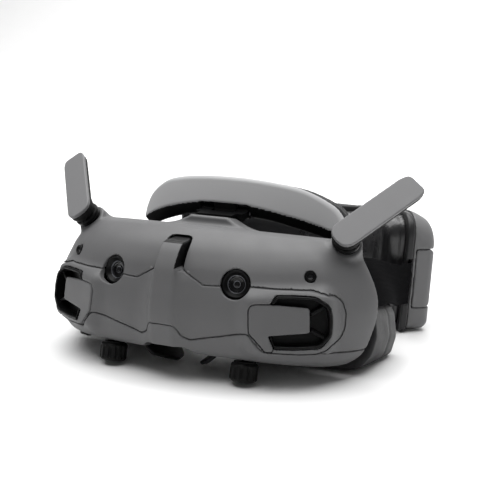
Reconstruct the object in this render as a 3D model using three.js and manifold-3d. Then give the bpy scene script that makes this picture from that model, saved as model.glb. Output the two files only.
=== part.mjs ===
// FPV goggles standing on a table: a visor with its eyepieces, two antennas, a forehead pad, a face
// cushion, and a battery pack that closes the headband. Millimetres, +Z up, the front faces -Y.
import * as THREE from 'three';
import { mergeVertices } from 'three/addons/utils/BufferGeometryUtils.js';
import Module from 'manifold-3d';

const wasm = await Module();
wasm.setup();

// ---- Driving dimensions (mm) ----
const GAP = 0.3;                 // clearance between pieces that touch
const CENTRE_Y = 75.3;             // depth of the object's middle behind the camera lenses
const TILT = THREE.MathUtils.degToRad(14); // the visor leans back on its two knobs

const SHELL = {
  wall: 2.2, bottom: 11, top: 68.5, // heights of the underside and the roof, across the leaning visor
  rearY: 28, rearSlope: 0.25,       // the rear edge leans with the visor
  low: -6, high: 68,                // height range of the outer form
};
const COVER_BACK = 24;             // how far back the front cover reaches
const RIDGE = { halfWidth: 5.4, tabTop: 62.3, root: 2.6, low: 9 };
const VENT = {
  centre: [54.5, 0.6, 30.8], yaw: THREE.MathUtils.degToRad(29), pitch: THREE.MathUtils.degToRad(9),
  depth: 5.5, face: -0.6, trimProud: 1.3, coverProud: 0.7, coverBack: 1.5, lip: 1.2, floor: 4.3,
};
const CAMERA = { x: 30.6, y: 0.6, z: 45.4, radius: 6.45, bore: 3.7 };
const SENSOR = { x: 60, y: 13.2, z: 49.1, radius: 2.3 };
const NOSE = { front: [17, 16.5], rear: [20, 29], base: -6, frontY: -12, rearY: 48 }; // half width, apex
const EYE = { x: 34, height: 38, barrel: 16, bore: 13, front: 17, back: 43, inward: 6, outward: 1 };
const KNOB = { radius: 6.2, bottom: 1.55, height: 8.2, collar: 4.9, shaft: 1.5, shaftTop: 15.3, depth: -0.7 };
const BUTTONS = { five_way_button: [-59, 15, 4.2], back_button: [-48, 19, 3] }; // x, depth, radius
const FAN = { height: 52, front: 11, depth: 7, radius: 9.6, blades: 7 };
const FOAM = { front: 31.6, side: 67.5, band: 13, low: 6, high: 67, faceRadius: 78, faceDepth: 128,
  faceStretch: 1.05 };
// Nose flap: (x, z) of its root and tip, and how thick it is.
const FLAP = { top: [15.2, 9.2], tip: [5.2, 1], thick: 1.3 };
const ANTENNA = {
  pivot: [70.2, 29.6, 65.8], along: [0.535, 0.703, 0.465], axis: [0.29, -0.665, 0.69],
  reach: 37, halfWidth: 6.5, faceThick: 1.7, backThick: 1.9, hub: 3.6, hubRadius: 6.2, tip: 4.6,
};
const PAD = {
  hingeY: 51.5, hingeZ: 66.5, frontY: 47,
  halfWidth: 55, bowWidth: 58, bowDepth: 20, bowPower: 2.3,  // the curve it is laid along
  shell: 6, cushionFront: 6.4, cushionBack: 17,
};
const PACK = {
  centre: [-6, 55.84], inner: 79, turn: 9, spread: 50, low: 0, high: 61,
  cushion: 15, liner: 4, shell: 11.5,      // radial depths of the three layers
  draft: 3.5, draftHeight: 55,             // it closes in towards its foot
};
const STRAP = { thick: 1.6, width: 21, front: 40.5, back: 27, flare: 13 }; // front, back: heights of its middle

// ---- Materials ----
const paint = (hex, roughness, metalness = 0) => () =>
  new THREE.MeshStandardMaterial({ color: hex, roughness, metalness });
const gray = paint(0x66676a, 0.55);
const lightGray = paint(0x7c7d80, 0.55);
const black = paint(0x151516, 0.5);
const glass = paint(0x0b0c10, 0.05);
const softGray = paint(0x303134, 0.8);
const webbingBlack = paint(0x1a1a1b, 0.9);
const steel = paint(0xb4b5b8, 0.35, 1);
const boardGreen = paint(0x1f4a33, 0.6);

// ---- Solids: three.js geometry in, manifold solid out, and back ----
const toSolid = (geometry) => {
  const bare = geometry.clone();
  bare.deleteAttribute('normal');
  bare.deleteAttribute('uv');
  const merged = mergeVertices(bare, 1e-4);
  return new wasm.Manifold(new wasm.Mesh({
    numProp: 3,
    vertProperties: new Float32Array(merged.attributes.position.array),
    triVerts: new Uint32Array(merged.index.array),
  }));
};

const toGeometry = (solid) => {
  const mesh = solid.getMesh();
  const geometry = new THREE.BufferGeometry();
  geometry.setAttribute('position', new THREE.BufferAttribute(new Float32Array(mesh.vertProperties), 3));
  geometry.setIndex(new THREE.BufferAttribute(new Uint32Array(mesh.triVerts), 1));
  geometry.computeVertexNormals();
  return geometry;
};

const cut = (solid, ...tools) => tools.reduce((body, tool) => body.subtract(tool), solid);
const join = (solid, ...others) => others.reduce((body, other) => body.add(other), solid);

// ---- Placement ----
const shift = (x, y, z) => new THREE.Matrix4().makeTranslation(x, y, z);
const lean = new THREE.Matrix4().makeRotationX(-TILT); // from the visor's own axes to the table's
const alongY = new THREE.Matrix4().makeRotationX(Math.PI / 2); // turns +Z to -Y

const box = (x, y, z) => {
  const geometry = new THREE.BoxGeometry(x[1] - x[0], y[1] - y[0], z[1] - z[0]);
  return geometry.translate((x[0] + x[1]) / 2, (y[0] + y[1]) / 2, (z[0] + z[1]) / 2);
};

// A shape drawn in (x, z), pushed through from frontY to backY.
const prismXZ = (shape, frontY, backY) => {
  const depth = backY - frontY;
  const geometry = new THREE.ExtrudeGeometry(shape, { depth, bevelEnabled: false, curveSegments: 8 });
  return geometry.applyMatrix4(alongY).translate(0, backY, 0);
};

// A shape drawn in (x, y), pushed up from low to high.
const prismXY = (shape, low, high, curveSegments = 16) => {
  const geometry = new THREE.ExtrudeGeometry(shape, { depth: high - low, bevelEnabled: false, curveSegments });
  return geometry.translate(0, 0, low);
};

const polygon = (points) => new THREE.Shape(points.map(([x, y]) => new THREE.Vector2(x, y)));

const roundedRect = (width, height, radius) => {
  const shape = new THREE.Shape();
  const x = width / 2, y = height / 2;
  shape.moveTo(-x + radius, -y);
  shape.lineTo(x - radius, -y);
  shape.absarc(x - radius, -y + radius, radius, -Math.PI / 2, 0);
  shape.lineTo(x, y - radius);
  shape.absarc(x - radius, y - radius, radius, 0, Math.PI / 2);
  shape.lineTo(-x + radius, y);
  shape.absarc(-x + radius, y - radius, radius, Math.PI / 2, Math.PI);
  shape.lineTo(-x, -y + radius);
  shape.absarc(-x + radius, -y + radius, radius, Math.PI, Math.PI * 1.5);
  return shape;
};

// Turns a profile of [radius, height] points about the Z axis.
const turned = (points, segments = 20) =>
  new THREE.LatheGeometry(points.map(([r, h]) => new THREE.Vector2(r, h)), segments).rotateX(Math.PI / 2);

const disc = (radius, low, high, segments = 20) =>
  turned([[0, low], [radius, low], [radius, high], [0, high]], segments);
const ring = (inner, outer, low, high, segments = 20) =>
  turned([[inner, low], [outer, low], [outer, high], [inner, high], [inner, low]], segments);

// Grows an outline by a distance, with mitred corners. The points run anticlockwise.
const grow = (points, distance) => points.map((point, i) => {
  const before = points[(i + points.length - 1) % points.length];
  const after = points[(i + 1) % points.length];
  const a = new THREE.Vector2(point[0] - before[0], point[1] - before[1]).normalize();
  const b = new THREE.Vector2(after[0] - point[0], after[1] - point[1]).normalize();
  const normal = new THREE.Vector2(a.y + b.y, -a.x - b.x).normalize();
  const length = distance / Math.max(0.3, normal.dot(new THREE.Vector2(a.y, -a.x)));
  return [point[0] + normal.x * length, point[1] + normal.y * length];
});

const bothSides = (half) => {
  const other = half.slice().reverse().filter(([x]) => x > 0);
  return [...half, ...other.map(([x, z]) => [-x, z])];
};

// A smooth curve through [height, value] pairs.
const profile = (pairs) => (at) => {
  const last = pairs.length - 1;
  const clamped = THREE.MathUtils.clamp(at, pairs[0][0], pairs[last][0]);
  const i = Math.min(last - 1, Math.max(0, pairs.findIndex(([h]) => h >= clamped) - 1));
  const slope = (k) => {
    const lo = pairs[Math.max(0, k - 1)], hi = pairs[Math.min(last, k + 1)];
    return (hi[1] - lo[1]) / (hi[0] - lo[0]);
  };
  const [h0, v0] = pairs[i], [h1, v1] = pairs[i + 1];
  const span = h1 - h0, t = (clamped - h0) / span;
  return (2 * t ** 3 - 3 * t ** 2 + 1) * v0 + (t ** 3 - 2 * t ** 2 + t) * span * slope(i)
    + (3 * t ** 2 - 2 * t ** 3) * v1 + (t ** 3 - t ** 2) * span * slope(i + 1);
};

// ---- The visor's outer form: level sections, each a rounded front with a flat back ----
const halfWidth = profile([[-6, 40], [0, 54], [3.3, 64.4], [7.3, 73], [12.3, 78.7], [23, 82.5], [30, 83.5],
  [36, 83], [41.5, 81], [46.8, 78], [52, 74.5], [56, 70.5], [60, 63], [64, 50], [68, 26]]);
const frontDepth = profile([[-6, 8], [4, 0], [10, -4], [14, -6.5], [20, -8], [30, -8.5], [38, -7.5],
  [45, -5.5], [51, -4], [56, -1], [60, 2.5], [63, 7], [66, 14], [68, 22]]);
const squareness = profile([[-6, 3], [30, 3], [43, 2.7], [50, 2.2], [68, 2.1]]);
const fullness = profile([[-6, 0.7], [30, 0.73], [43, 0.68], [50, 0.58], [68, 0.56]]);
const rearEdge = (z) => SHELL.rearY + SHELL.rearSlope * z;

const visorForm = (inset, rearExtra) => {
  const geometry = new THREE.CylinderGeometry(1, 1, 1, 36, 18);
  const position = geometry.attributes.position;
  const middle = 32;
  for (let i = 0; i < position.count; i += 1) {
    const level = 0.5 - position.getY(i);
    const radius = Math.hypot(position.getX(i), position.getZ(i));
    const angle = Math.atan2(position.getZ(i), position.getX(i));
    const z = SHELL.high - inset - level * (SHELL.high - SHELL.low - 2 * inset);
    const source = z + inset * Math.tanh((z - middle) / 14);
    const wide = halfWidth(source) - inset;
    const front = frontDepth(source) + inset;
    const rear = rearEdge(z) + rearExtra;
    const c = Math.cos(angle), s = Math.sin(angle);
    const x = s > 0 ? wide * Math.sign(c) * Math.abs(c) ** (2 / squareness(source)) : wide * c;
    const bulge = s > 0 ? s ** (2 * fullness(source)) : 0;
    const y = rear - (rear - front) * bulge;
    position.setXYZ(i, radius * x, radius > 0.5 ? y : (front + rear) / 2, z);
  }
  return toSolid(geometry);
};

const slab = (low, high) => toSolid(box([-140, 140], [-140, 140], [low, high]).applyMatrix4(lean));
const noseCut = (extra) => {
  const half = [];
  for (let i = 0; i <= 8; i += 1) {
    const s = i / 8;
    half.push([Math.cos(s * Math.PI / 2) ** 0.5, Math.sin(s * Math.PI / 2)]);
  }
  const outline = polygon(bothSides(half));
  const geometry = prismXZ(outline, 0, 1);
  const position = geometry.attributes.position;
  for (let i = 0; i < position.count; i += 1) {
    const t = position.getY(i);
    const wide = THREE.MathUtils.lerp(NOSE.front[0], NOSE.rear[0], t) + extra;
    const apex = THREE.MathUtils.lerp(NOSE.front[1], NOSE.rear[1], t) + extra;
    position.setXYZ(i, position.getX(i) * wide, THREE.MathUtils.lerp(NOSE.frontY, NOSE.rearY, t),
      NOSE.base + position.getZ(i) * (apex - NOSE.base));
  }
  return toSolid(geometry);
};

const envelope = visorForm(0, 0).intersect(slab(SHELL.bottom, SHELL.top));
const hollow = visorForm(SHELL.wall, 30).intersect(slab(SHELL.bottom + SHELL.wall, SHELL.top - SHELL.wall));
const nose = noseCut(0);
const noseTunnel = noseCut(SHELL.wall + GAP);

// Outlines of the front cover and its tab, seen from the front.
const coverHalf = [[0, 27.4], [6, 27.2], [9, 22], [12.5, 20.3], [39.9, 26.4], [46.4, 18.2], [60, 16.8], [66, 16.8],
  [70, 18.8], [73, 22.5], [74.5, 27], [74.5, 33], [72.8, 38], [69, 42], [62, 44], [37, 45.4], [16.8, 44.6],
  [RIDGE.halfWidth - 0.4, 51.2],
  [RIDGE.halfWidth, RIDGE.tabTop], [0, RIDGE.tabTop]];
const coverOutline = bothSides(coverHalf);
const sideSeam = [[-100, 10.4], [-70, 16], [-40, 33], [40, 33], [70, 16], [100, 10.4]];
const through = (points, back = 80) => toSolid(prismXZ(polygon(points), -60, back));
const coverTool = through(grow(coverOutline, GAP / 2), COVER_BACK + GAP);
const underSeam = sideSeam.slice().reverse().map(([x, z]) => [x, z - GAP / 2]);
const lowerTool = through([[-100, -40], [100, -40], ...underSeam]);
const upperTool = through([...sideSeam.map(([x, z]) => [x, z + GAP / 2]), [100, 120], [-100, 120]]);

// The ridge down the middle of the front, widening to the chin.
const ridgeForm = (() => {
  const outline = polygon([[-1, 0], [-1, -1], [1, -1], [1, 0]]);
  const geometry = new THREE.ExtrudeGeometry(outline, { depth: 1, steps: 12, bevelEnabled: false });
  const position = geometry.attributes.position;
  const proud = profile([[9, 2], [18, 4.5], [27, 5.6], [38, 6], [45, 5.8], [51, 5.6], [56, 5.6], [62, 5.6]]);
  const flank = profile([[9, 14], [20, 11], [30, 9], [45, 6], [51, 0.6], [62, 0.4]]);
  for (let i = 0; i < position.count; i += 1) {
    const z = THREE.MathUtils.lerp(RIDGE.low, RIDGE.tabTop - GAP, position.getZ(i));
    const x = position.getX(i);
    const outer = position.getY(i) < -0.5;
    const edge = RIDGE.halfWidth - GAP + (outer ? 0 : flank(z));
    position.setXYZ(i, Math.sign(x) * edge, frontDepth(z) + (outer ? -proud(z) : RIDGE.root), z);
  }
  return toSolid(geometry);
})();

// ---- Vent region, in its own axes: x outwards along the face, y into the visor, z up ----
const ventPlace = (side) => shift(side * VENT.centre[0], VENT.centre[1], VENT.centre[2])
  .multiply(new THREE.Matrix4().makeRotationZ(side * VENT.yaw))
  .multiply(new THREE.Matrix4().makeRotationX(-VENT.pitch));
const RIM = [[-6.2, -10.8], [3, -11.4], [14.5, -11], [17.6, -8], [19.4, -5.5], [19.8, 0.5], [18.9, 7], [16, 9.6],
  [12.5, 11], [3, 11.7], [-4.3, 11.8], [-7.2, 8], [-7.9, -5.2]];
const TONGUE = [[-16.3, -4], [-9.3, -12.1], [-6.4, -12.3], [-5.9, -10.6], [-8, -5.4], [9.4, -4.4], [10, -3.6],
  [10, 5.8], [9.2, 6.4], [-7.1, 8.2], [-14, 8.3], [-16.3, 6]];
const POD = [[-18.5, -9], [-15, -13.8], [17, -13.8], [20.5, -9], [20.5, 8], [17, 13], [-15, 13], [-18.5, 8]];
const onSide = (points, side) => points.map(([x, z]) => [side * x, z]);
const ordered = (points, side) => (side > 0 ? points : points.slice().reverse());
const ventSolid = (points, side, extra, front, back) =>
  toSolid(prismXZ(polygon(grow(ordered(onSide(points, side), side), extra)), front, back)
    .applyMatrix4(ventPlace(side)));

// ---- Collecting the pieces ----
const goggles = new THREE.Group();
goggles.position.set(0, -CENTRE_Y, 0);
const visor = new THREE.Group();
visor.rotation.x = -TILT;
goggles.add(visor);

const add = (name, shape, material, parent = goggles) => {
  const geometry = shape.getMesh ? toGeometry(shape) : shape;
  const mesh = new THREE.Mesh(geometry, material());
  mesh.name = name;
  parent.add(mesh);
  return mesh;
};
const sides = [['left', 1], ['right', -1]]; // the wearer's left is +X

// ---- Shells ----
// The raised block on the roof that carries the forehead pad.
const BUMP = { outline: [[-24, 67], [24, 67], [9.4, 73.4], [-9.4, 73.4]], front: 15, back: 27 };
const hingeBump = (extra) => toSolid(prismXZ(polygon(grow(BUMP.outline, extra)), BUMP.front - extra,
  BUMP.back + extra).applyMatrix4(lean));
const cameraAim = (side) => new THREE.Matrix4().makeTranslation(side * CAMERA.x, CAMERA.y, CAMERA.z)
  .multiply(new THREE.Matrix4().makeRotationZ(side * TILT)).multiply(lean).multiply(alongY);
const sensorAim = (side) => new THREE.Matrix4().makeTranslation(side * SENSOR.x, SENSOR.y, SENSOR.z)
  .multiply(new THREE.Matrix4().makeRotationZ(side * 0.42)).multiply(lean).multiply(alongY);
const cameraHole = (side) => toSolid(disc(CAMERA.radius + GAP, -14, 12).applyMatrix4(cameraAim(side)));
const sensorHole = (side) => toSolid(disc(SENSOR.radius + GAP, -7, 7, 12).applyMatrix4(sensorAim(side)));
const SLOT_HALF = 2;
const knobSlot = (side) => {
  const inner = side * (EYE.x - EYE.inward - SLOT_HALF), outer = side * (EYE.x + EYE.outward + SLOT_HALF);
  const reach = [Math.min(inner, outer), Math.max(inner, outer)];
  return toSolid(box(reach, [KNOB.depth - SLOT_HALF, KNOB.depth + SLOT_HALF], [0, 18]).applyMatrix4(lean));
};
const VENT_CLEAR = -12;            // how far in front of the face the vent's tools start
const ventHole = (side) => ventSolid(RIM, side, GAP, VENT_CLEAR, VENT.depth + GAP)
  .add(ventSolid(TONGUE, side, GAP, VENT_CLEAR, VENT.depth + GAP));
const holes = sides.flatMap(([, side]) => [cameraHole(side), sensorHole(side), ventHole(side)]);

const buttonHoles = Object.values(BUTTONS).map(([x, y, radius]) =>
  toSolid(disc(radius + GAP, SHELL.bottom - 5, SHELL.bottom + 6).translate(x, y, 0).applyMatrix4(lean)));
const shell = cut(envelope, hollow, nose);
const ventPods = sides.map(([, side]) => ventSolid(POD, side, 0, VENT.face, VENT.depth + 1.8)
  .intersect(visorForm(-3, 0)));
add('upper_shell', cut(join(shell.intersect(upperTool), hingeBump(0)), coverTool, ...holes), gray);
const coverArea = through(grow(coverOutline, -GAP / 2), COVER_BACK);
add('front_cover', cut(join(shell, ridgeForm, ...ventPods).intersect(coverArea), nose, ...holes), gray);
const knobSlots = sides.map(([, side]) => knobSlot(side));
add('lower_shell', cut(shell.intersect(lowerTool), coverTool, ...buttonHoles, ...knobSlots), gray);
for (const [name, [x, y, radius]] of Object.entries(BUTTONS)) {
  add(name, disc(radius, SHELL.bottom - 1.2, SHELL.bottom + 1.8, 16).translate(x, y, 0), black, visor);
}

for (const [name, side] of sides) {
  add(`${name}_vent_cover`, ventSolid(TONGUE, side, 0, -VENT.coverProud, VENT.coverBack), gray);
  const band = ventSolid(RIM, side, 0, -VENT.trimProud, VENT.depth);
  const opening = ventSolid(TONGUE, side, GAP, VENT_CLEAR, VENT.coverBack + GAP);
  const groove = ventSolid(RIM, side, -VENT.lip, VENT_CLEAR, VENT.floor);
  const pedestal = ventSolid(TONGUE, side, -VENT.lip, VENT.coverBack + GAP, VENT.depth).intersect(band);
  add(`${name}_vent_trim`, join(cut(band, opening, groove), pedestal), black);
  const bezel = turned([[CAMERA.bore, -5], [CAMERA.radius, -5], [CAMERA.radius, 0.8], [CAMERA.radius - 1, 1.6],
    [CAMERA.bore + 0.6, 0.2], [CAMERA.bore, -0.4], [CAMERA.bore, -5]]);
  add(`${name}_camera_bezel`, bezel.applyMatrix4(cameraAim(side)), black);
  const lens = turned([[0, -4.5], [CAMERA.bore - GAP, -4.5], [CAMERA.bore - GAP, -1.4], [2, -0.8], [0, -0.6]]);
  add(`${name}_camera_lens`, lens.applyMatrix4(cameraAim(side)), glass);
  add(`${name}_sensor`, disc(SENSOR.radius, -3.5, 0.4, 12).applyMatrix4(sensorAim(side)), black);
}

// ---- Inside the visor, in its own leaning axes: y runs back, z up ----
const eyeWindow = (side, extra) => {
  const travel = EYE.inward + EYE.outward;
  const radius = EYE.barrel + extra;
  const shape = roundedRect(2 * radius + travel, 2 * radius, radius - 0.01);
  const x = side * (EYE.x + (EYE.outward - EYE.inward) / 2);
  return toSolid(prismXZ(shape, 0, 80).translate(x, 0, EYE.height).applyMatrix4(lean));
};
const band = (front, back) => toSolid(box([-140, 140], [front, back], [-140, 140]).applyMatrix4(lean));
const innerForm = visorForm(SHELL.wall + GAP, 60)
  .intersect(slab(SHELL.bottom + SHELL.wall + GAP, SHELL.top - SHELL.wall - GAP));
const rearWall = innerForm.intersect(band(23.5, 26));
const noseWall = cut(noseTunnel.intersect(band(1, 26)).intersect(innerForm), nose);
const eyeWindows = (extra) => sides.map(([, side]) => eyeWindow(side, extra));
add('rear_housing', cut(join(rearWall, noseWall), nose, ...eyeWindows(0.6)), black);
const frameForm = visorForm(2, 60).intersect(slab(SHELL.bottom + 1, SHELL.top - 1));
add('face_frame', cut(frameForm.intersect(band(27.6, 30.4)), nose, ...eyeWindows(1.4)), black);

add('main_board', box([-32, 32], [22, 23.4], [57, 65]), boardGreen, visor);
const fanAxis = (geometry) => geometry.applyMatrix4(alongY).translate(0, FAN.front + FAN.depth, FAN.height);
const fanCase = toSolid(ring(FAN.radius - 1, FAN.radius, 0, FAN.depth));
const fanBack = toSolid(disc(FAN.radius - 0.5, 0, 1)).subtract(toSolid(disc(1.2, -1, 2, 12)));
add('fan_housing', fanAxis(toGeometry(fanCase.add(fanBack))), black, visor);
const fanBlades = [...Array(FAN.blades).keys()].map((i) =>
  toSolid(box([3, FAN.radius - 1.8], [-0.4, 0.4], [1.6, 6]).rotateZ((i / FAN.blades) * Math.PI * 2)));
const fanHub = toSolid(disc(3.4, 1.6, 6.4));
const fanShaft = toSolid(disc(0.9, 0.1, 3, 12));
add('fan_rotor', fanAxis(toGeometry(join(fanHub, fanShaft, ...fanBlades))), black, visor);

for (const [name, side] of sides) {
  const x = side * EYE.x;
  const plate = toSolid(box(side > 0 ? [x - 10, x + 14] : [x - 14, x + 10], [9, 11.4], [20, 52]));
  const foot = toSolid(box([x - 4, x + 4], [KNOB.depth - 1, 10], [15.6, 18]));
  const stem = toSolid(box([x - 4, x + 4], [9, 11.4], [15.6, 22]));
  add(`${name}_carriage`, join(plate, foot, stem), black, visor);
  add(`${name}_display`, box([x - 12, x + 12], [11.7, 13.7], [EYE.height - 10, EYE.height + 10]), glass, visor);
  const barrel = turned([[EYE.bore, -EYE.back], [EYE.barrel, -EYE.back], [EYE.barrel, -EYE.front],
    [EYE.bore - 2, -EYE.front], [EYE.bore - 2, -EYE.front - 2], [EYE.bore, -EYE.front - 3],
    [EYE.bore, -EYE.back]]);
  add(`${name}_eyepiece`, barrel.applyMatrix4(alongY).translate(x, 0, EYE.height), black, visor);
  const lens = turned([[0, -EYE.back + 2.4], [6, -EYE.back + 3], [EYE.bore - GAP, -EYE.back + 5.4],
    [EYE.bore - GAP, -EYE.back + 7], [0, -EYE.back + 7]]);
  add(`${name}_eyepiece_lens`, lens.applyMatrix4(alongY).translate(x, 0, EYE.height), glass, visor);
  const knobTop = KNOB.bottom + KNOB.height;
  const knob = turned([[0, KNOB.bottom], [KNOB.radius - 0.8, KNOB.bottom], [KNOB.radius, KNOB.bottom + 0.8],
    [KNOB.radius, knobTop - 0.8], [KNOB.radius - 0.8, knobTop], [KNOB.collar, knobTop],
    [KNOB.collar, knobTop + 0.8], [KNOB.shaft, knobTop + 0.8], [KNOB.shaft, KNOB.shaftTop], [0, KNOB.shaftTop]]);
  add(`${name}_knob`, knob.translate(x, KNOB.depth, 0), black, visor);
}

// ---- Soft face cushion: a ring with a nose gap, hollowed to the face ----
const foamOutline = (inset) => {
  const low = FOAM.low + inset * 0.8, high = FOAM.high - inset * 0.75;
  const rim = [[64, 6.5], [72, 9], [78, 13], [81, 19], [82, 26], [80, 36], [74.5, 45], [65, 52], [58, 58],
    [48, 63.5]]
    .map(([x, z]) => [x - inset * (z > 55 ? 0.9 : 1), THREE.MathUtils.clamp(z, low, high)]);
  const notch = [[0, 36 + inset * 0.2], [9 + inset * 0.2, 33 + inset * 0.2], [15 + inset * 0.2, 22],
    [18 + inset * 0.6, low]];
  return bothSides([...notch, ...rim, [34, high], [0, high]]);
};
const foamRing = toSolid(prismXZ(polygon(foamOutline(0)), FOAM.front, FOAM.side).applyMatrix4(lean));
const face = toSolid(new THREE.CylinderGeometry(FOAM.faceRadius, FOAM.faceRadius, 300, 40).rotateX(Math.PI / 2)
  .scale(1, FOAM.faceStretch, 1).translate(0, FOAM.faceDepth, 0).applyMatrix4(lean));
const ground = toSolid(box([-200, 200], [-200, 200], [-90, 0.02]));
const foamBore = toSolid(prismXZ(polygon(foamOutline(FOAM.band)), FOAM.front - 5, FOAM.side + 5)
  .applyMatrix4(lean));
add('face_cushion', cut(foamRing, foamBore, face, ground), softGray);

// ---- Nose flaps: one soft lobe on each side, sloping in from the tunnel's wall ----
// (y, distance down the slope)
const flapLobe = [[4, 0], [27, 0], [25, 6], [18.5, 12.3], [12.5, 13], [7.5, 9.5], [4, 5]];
for (const [name, side] of sides) {
  const run = new THREE.Vector3(side * (FLAP.tip[0] - FLAP.top[0]), 0, FLAP.tip[1] - FLAP.top[1]).normalize();
  const back = new THREE.Vector3(0, 1, 0);
  const basis = new THREE.Matrix4().makeBasis(back, run, new THREE.Vector3().crossVectors(back, run))
    .setPosition(side * FLAP.top[0], 0, FLAP.top[1]);
  const layer = side > 0 ? [0, FLAP.thick] : [-FLAP.thick, 0];
  add(`${name}_nose_flap`, prismXY(polygon(flapLobe), ...layer).applyMatrix4(basis), black);
}

// ---- Antennas: a fixed neck, a pin and a two-part blade that swivels on it ----
const bladeBasis = (side) => {
  const axis = new THREE.Vector3(side * ANTENNA.axis[0], ANTENNA.axis[1], ANTENNA.axis[2]);
  const along = new THREE.Vector3(side * ANTENNA.along[0], ANTENNA.along[1], ANTENNA.along[2]).normalize();
  axis.addScaledVector(along, -axis.dot(along)).normalize();
  const across = new THREE.Vector3().crossVectors(axis, along);
  return new THREE.Matrix4().makeBasis(along, across, axis)
    .setPosition(side * ANTENNA.pivot[0], ANTENNA.pivot[1], ANTENNA.pivot[2]);
};
const bladeShape = (side) => {
  const { halfWidth: w, reach } = ANTENNA;
  const root = [...Array(9).keys()].map((i) => (i / 8) * Math.PI).map((a) => [-w * Math.sin(a), w * Math.cos(a)]);
  const tip = [[reach, -w], [reach + ANTENNA.tip, -w + 2.5], [reach + ANTENNA.tip, w - 3.5], [reach - 1, w]];
  return polygon([...root, ...tip].map(([x, y]) => [x, side * y]));
};
const aroundVisor = visorForm(-GAP, 0).intersect(slab(SHELL.bottom - GAP, SHELL.top + GAP));
const belowNecks = toSolid(box([-200, 200], [-200, 200], [-50, 51]));
for (const [name, side] of sides) {
  const basis = bladeBasis(side);
  const { faceThick, backThick } = ANTENNA;
  const blade = prismXY(bladeShape(side), 0.2, faceThick + 0.2, 12);
  add(`${name}_antenna_blade`, blade.applyMatrix4(basis), lightGray);
  const hub = toSolid(disc(ANTENNA.hubRadius, -ANTENNA.hub, -0.5));
  const plate = toSolid(prismXY(bladeShape(side), -backThick, -0.1, 12));
  const back = cut(join(plate, hub), toSolid(disc(2.3, -5, -0.9)));
  add(`${name}_antenna_back`, toGeometry(back).applyMatrix4(basis), gray);
  const neckTop = -ANTENNA.hub - GAP;
  const neck = toSolid(turned([[0, -18], [5.7, -18], [5.7, neckTop - 2.6], [6.5, neckTop - 2.2],
    [6.5, neckTop], [0, neckTop]]));
  const post = toSolid(disc(2.0, neckTop - 1, -1.2));
  const neckSolid = toSolid(toGeometry(join(neck, post)).applyMatrix4(basis));
  add(`${name}_antenna_neck`, cut(neckSolid, aroundVisor, belowNecks), gray);
}

// ---- Forehead pad: bracket, hinge pin, curved shell, cushion ----
const PAD_STEPS = 14;
const padCurve = (front, back, reach) => {
  const bow = (x) => PAD.bowDepth * Math.abs(x / PAD.bowWidth) ** PAD.bowPower;
  const across = [...Array(PAD_STEPS + 1).keys()].map((i) => reach * (-1 + (2 * i) / PAD_STEPS));
  const near = across.map((x) => [x, front + bow(x)]);
  const far = across.reverse().map((x) => [x, back + bow(x)]);
  return polygon([...near, ...far]);
};
const padTrim = toSolid(prismXZ(polygon(bothSides([[0, 64], [25, 62], [38, 57.8], [47, 54.2], [53, 52], [56, 54],
  [56, 59], [54.6, 63.6], [52, 67.4], [48.5, 70.8], [43, 74.8], [36, 78.4], [28, 80.6], [20, 82], [10, 83],
  [0, 83.3]])), 20, 120));
const padLayer = (front, back, reach) =>
  toSolid(prismXY(padCurve(PAD.frontY + front, PAD.frontY + back, reach), 40, 100)).intersect(padTrim);
const padShellSolid = padLayer(0, PAD.shell, PAD.halfWidth);
const padCushionForm = padLayer(PAD.cushionFront, PAD.cushionBack, PAD.halfWidth - 1);
const pinX = new THREE.Matrix4().makeRotationY(Math.PI / 2).setPosition(0, PAD.hingeY, PAD.hingeZ);
const hingeRoom = toSolid(disc(3.6, -13, 13).applyMatrix4(pinX));
const knuckle = (low, high) => toSolid(disc(2.8, low, high, 20).applyMatrix4(pinX))
  .subtract(toSolid(disc(1.35, low - 1, high + 1, 16).applyMatrix4(pinX)));
const bracketArm = toSolid(box([-9.4, 9.4], [37.4, 45.6], [63.6, 67.4]));
const ears = [[-12.4, -6.2], [6.2, 12.4]];
const earSolids = ears.map(([low, high]) => join(knuckle(low, high),
  toSolid(box([low, high], [PAD.hingeY - 8.1, PAD.hingeY - 2.1], [64.4, 67.4]))));
const arm = join(bracketArm, toSolid(box([-12.4, 12.4], [42.6, 45.6], [63.6, 67.4])));
add('pad_bracket', cut(join(arm, ...earSolids), hingeBump(GAP)), black);

add('pad_hinge_pin', disc(1.3, -12.2, 12.2, 16).applyMatrix4(pinX), steel);
const tongueBlock = toSolid(box([-5.8, 5.8], [PAD.frontY + 2, PAD.hingeY + 1.1], [68, 75]));
const tongue = join(knuckle(-5.8, 5.8), tongueBlock);
const hingeGap = toSolid(box([-13, 13], [30, 56], [50, 72.5]));
add('pad_shell', cut(join(cut(padShellSolid, hingeRoom, hingeGap), tongue),
  toSolid(disc(1.35, -20, 20, 16).applyMatrix4(pinX))), gray);
add('pad_cushion', cut(padCushionForm, hingeRoom), softGray);

// ---- Battery pack: layers of one arc about the head, and the webbing that ties it to the visor ----
const ARC_STEPS = 18;
const packAngle = (degrees) => THREE.MathUtils.degToRad(90 - degrees - PACK.turn);
const draftAt = (z) => PACK.draft * (1 - z / PACK.draftHeight);
const arc = (inner, outer, spread, middle = 0) => {
  const at = (radius, i) => {
    const angle = packAngle(middle + spread - (2 * spread * i) / ARC_STEPS);
    return [PACK.centre[0] + radius * Math.cos(angle), PACK.centre[1] + radius * Math.sin(angle)];
  };
  const along = [...Array(ARC_STEPS + 1).keys()];
  return polygon([...along.map((i) => at(outer, i)), ...along.reverse().map((i) => at(inner, i))]);
};
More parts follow.
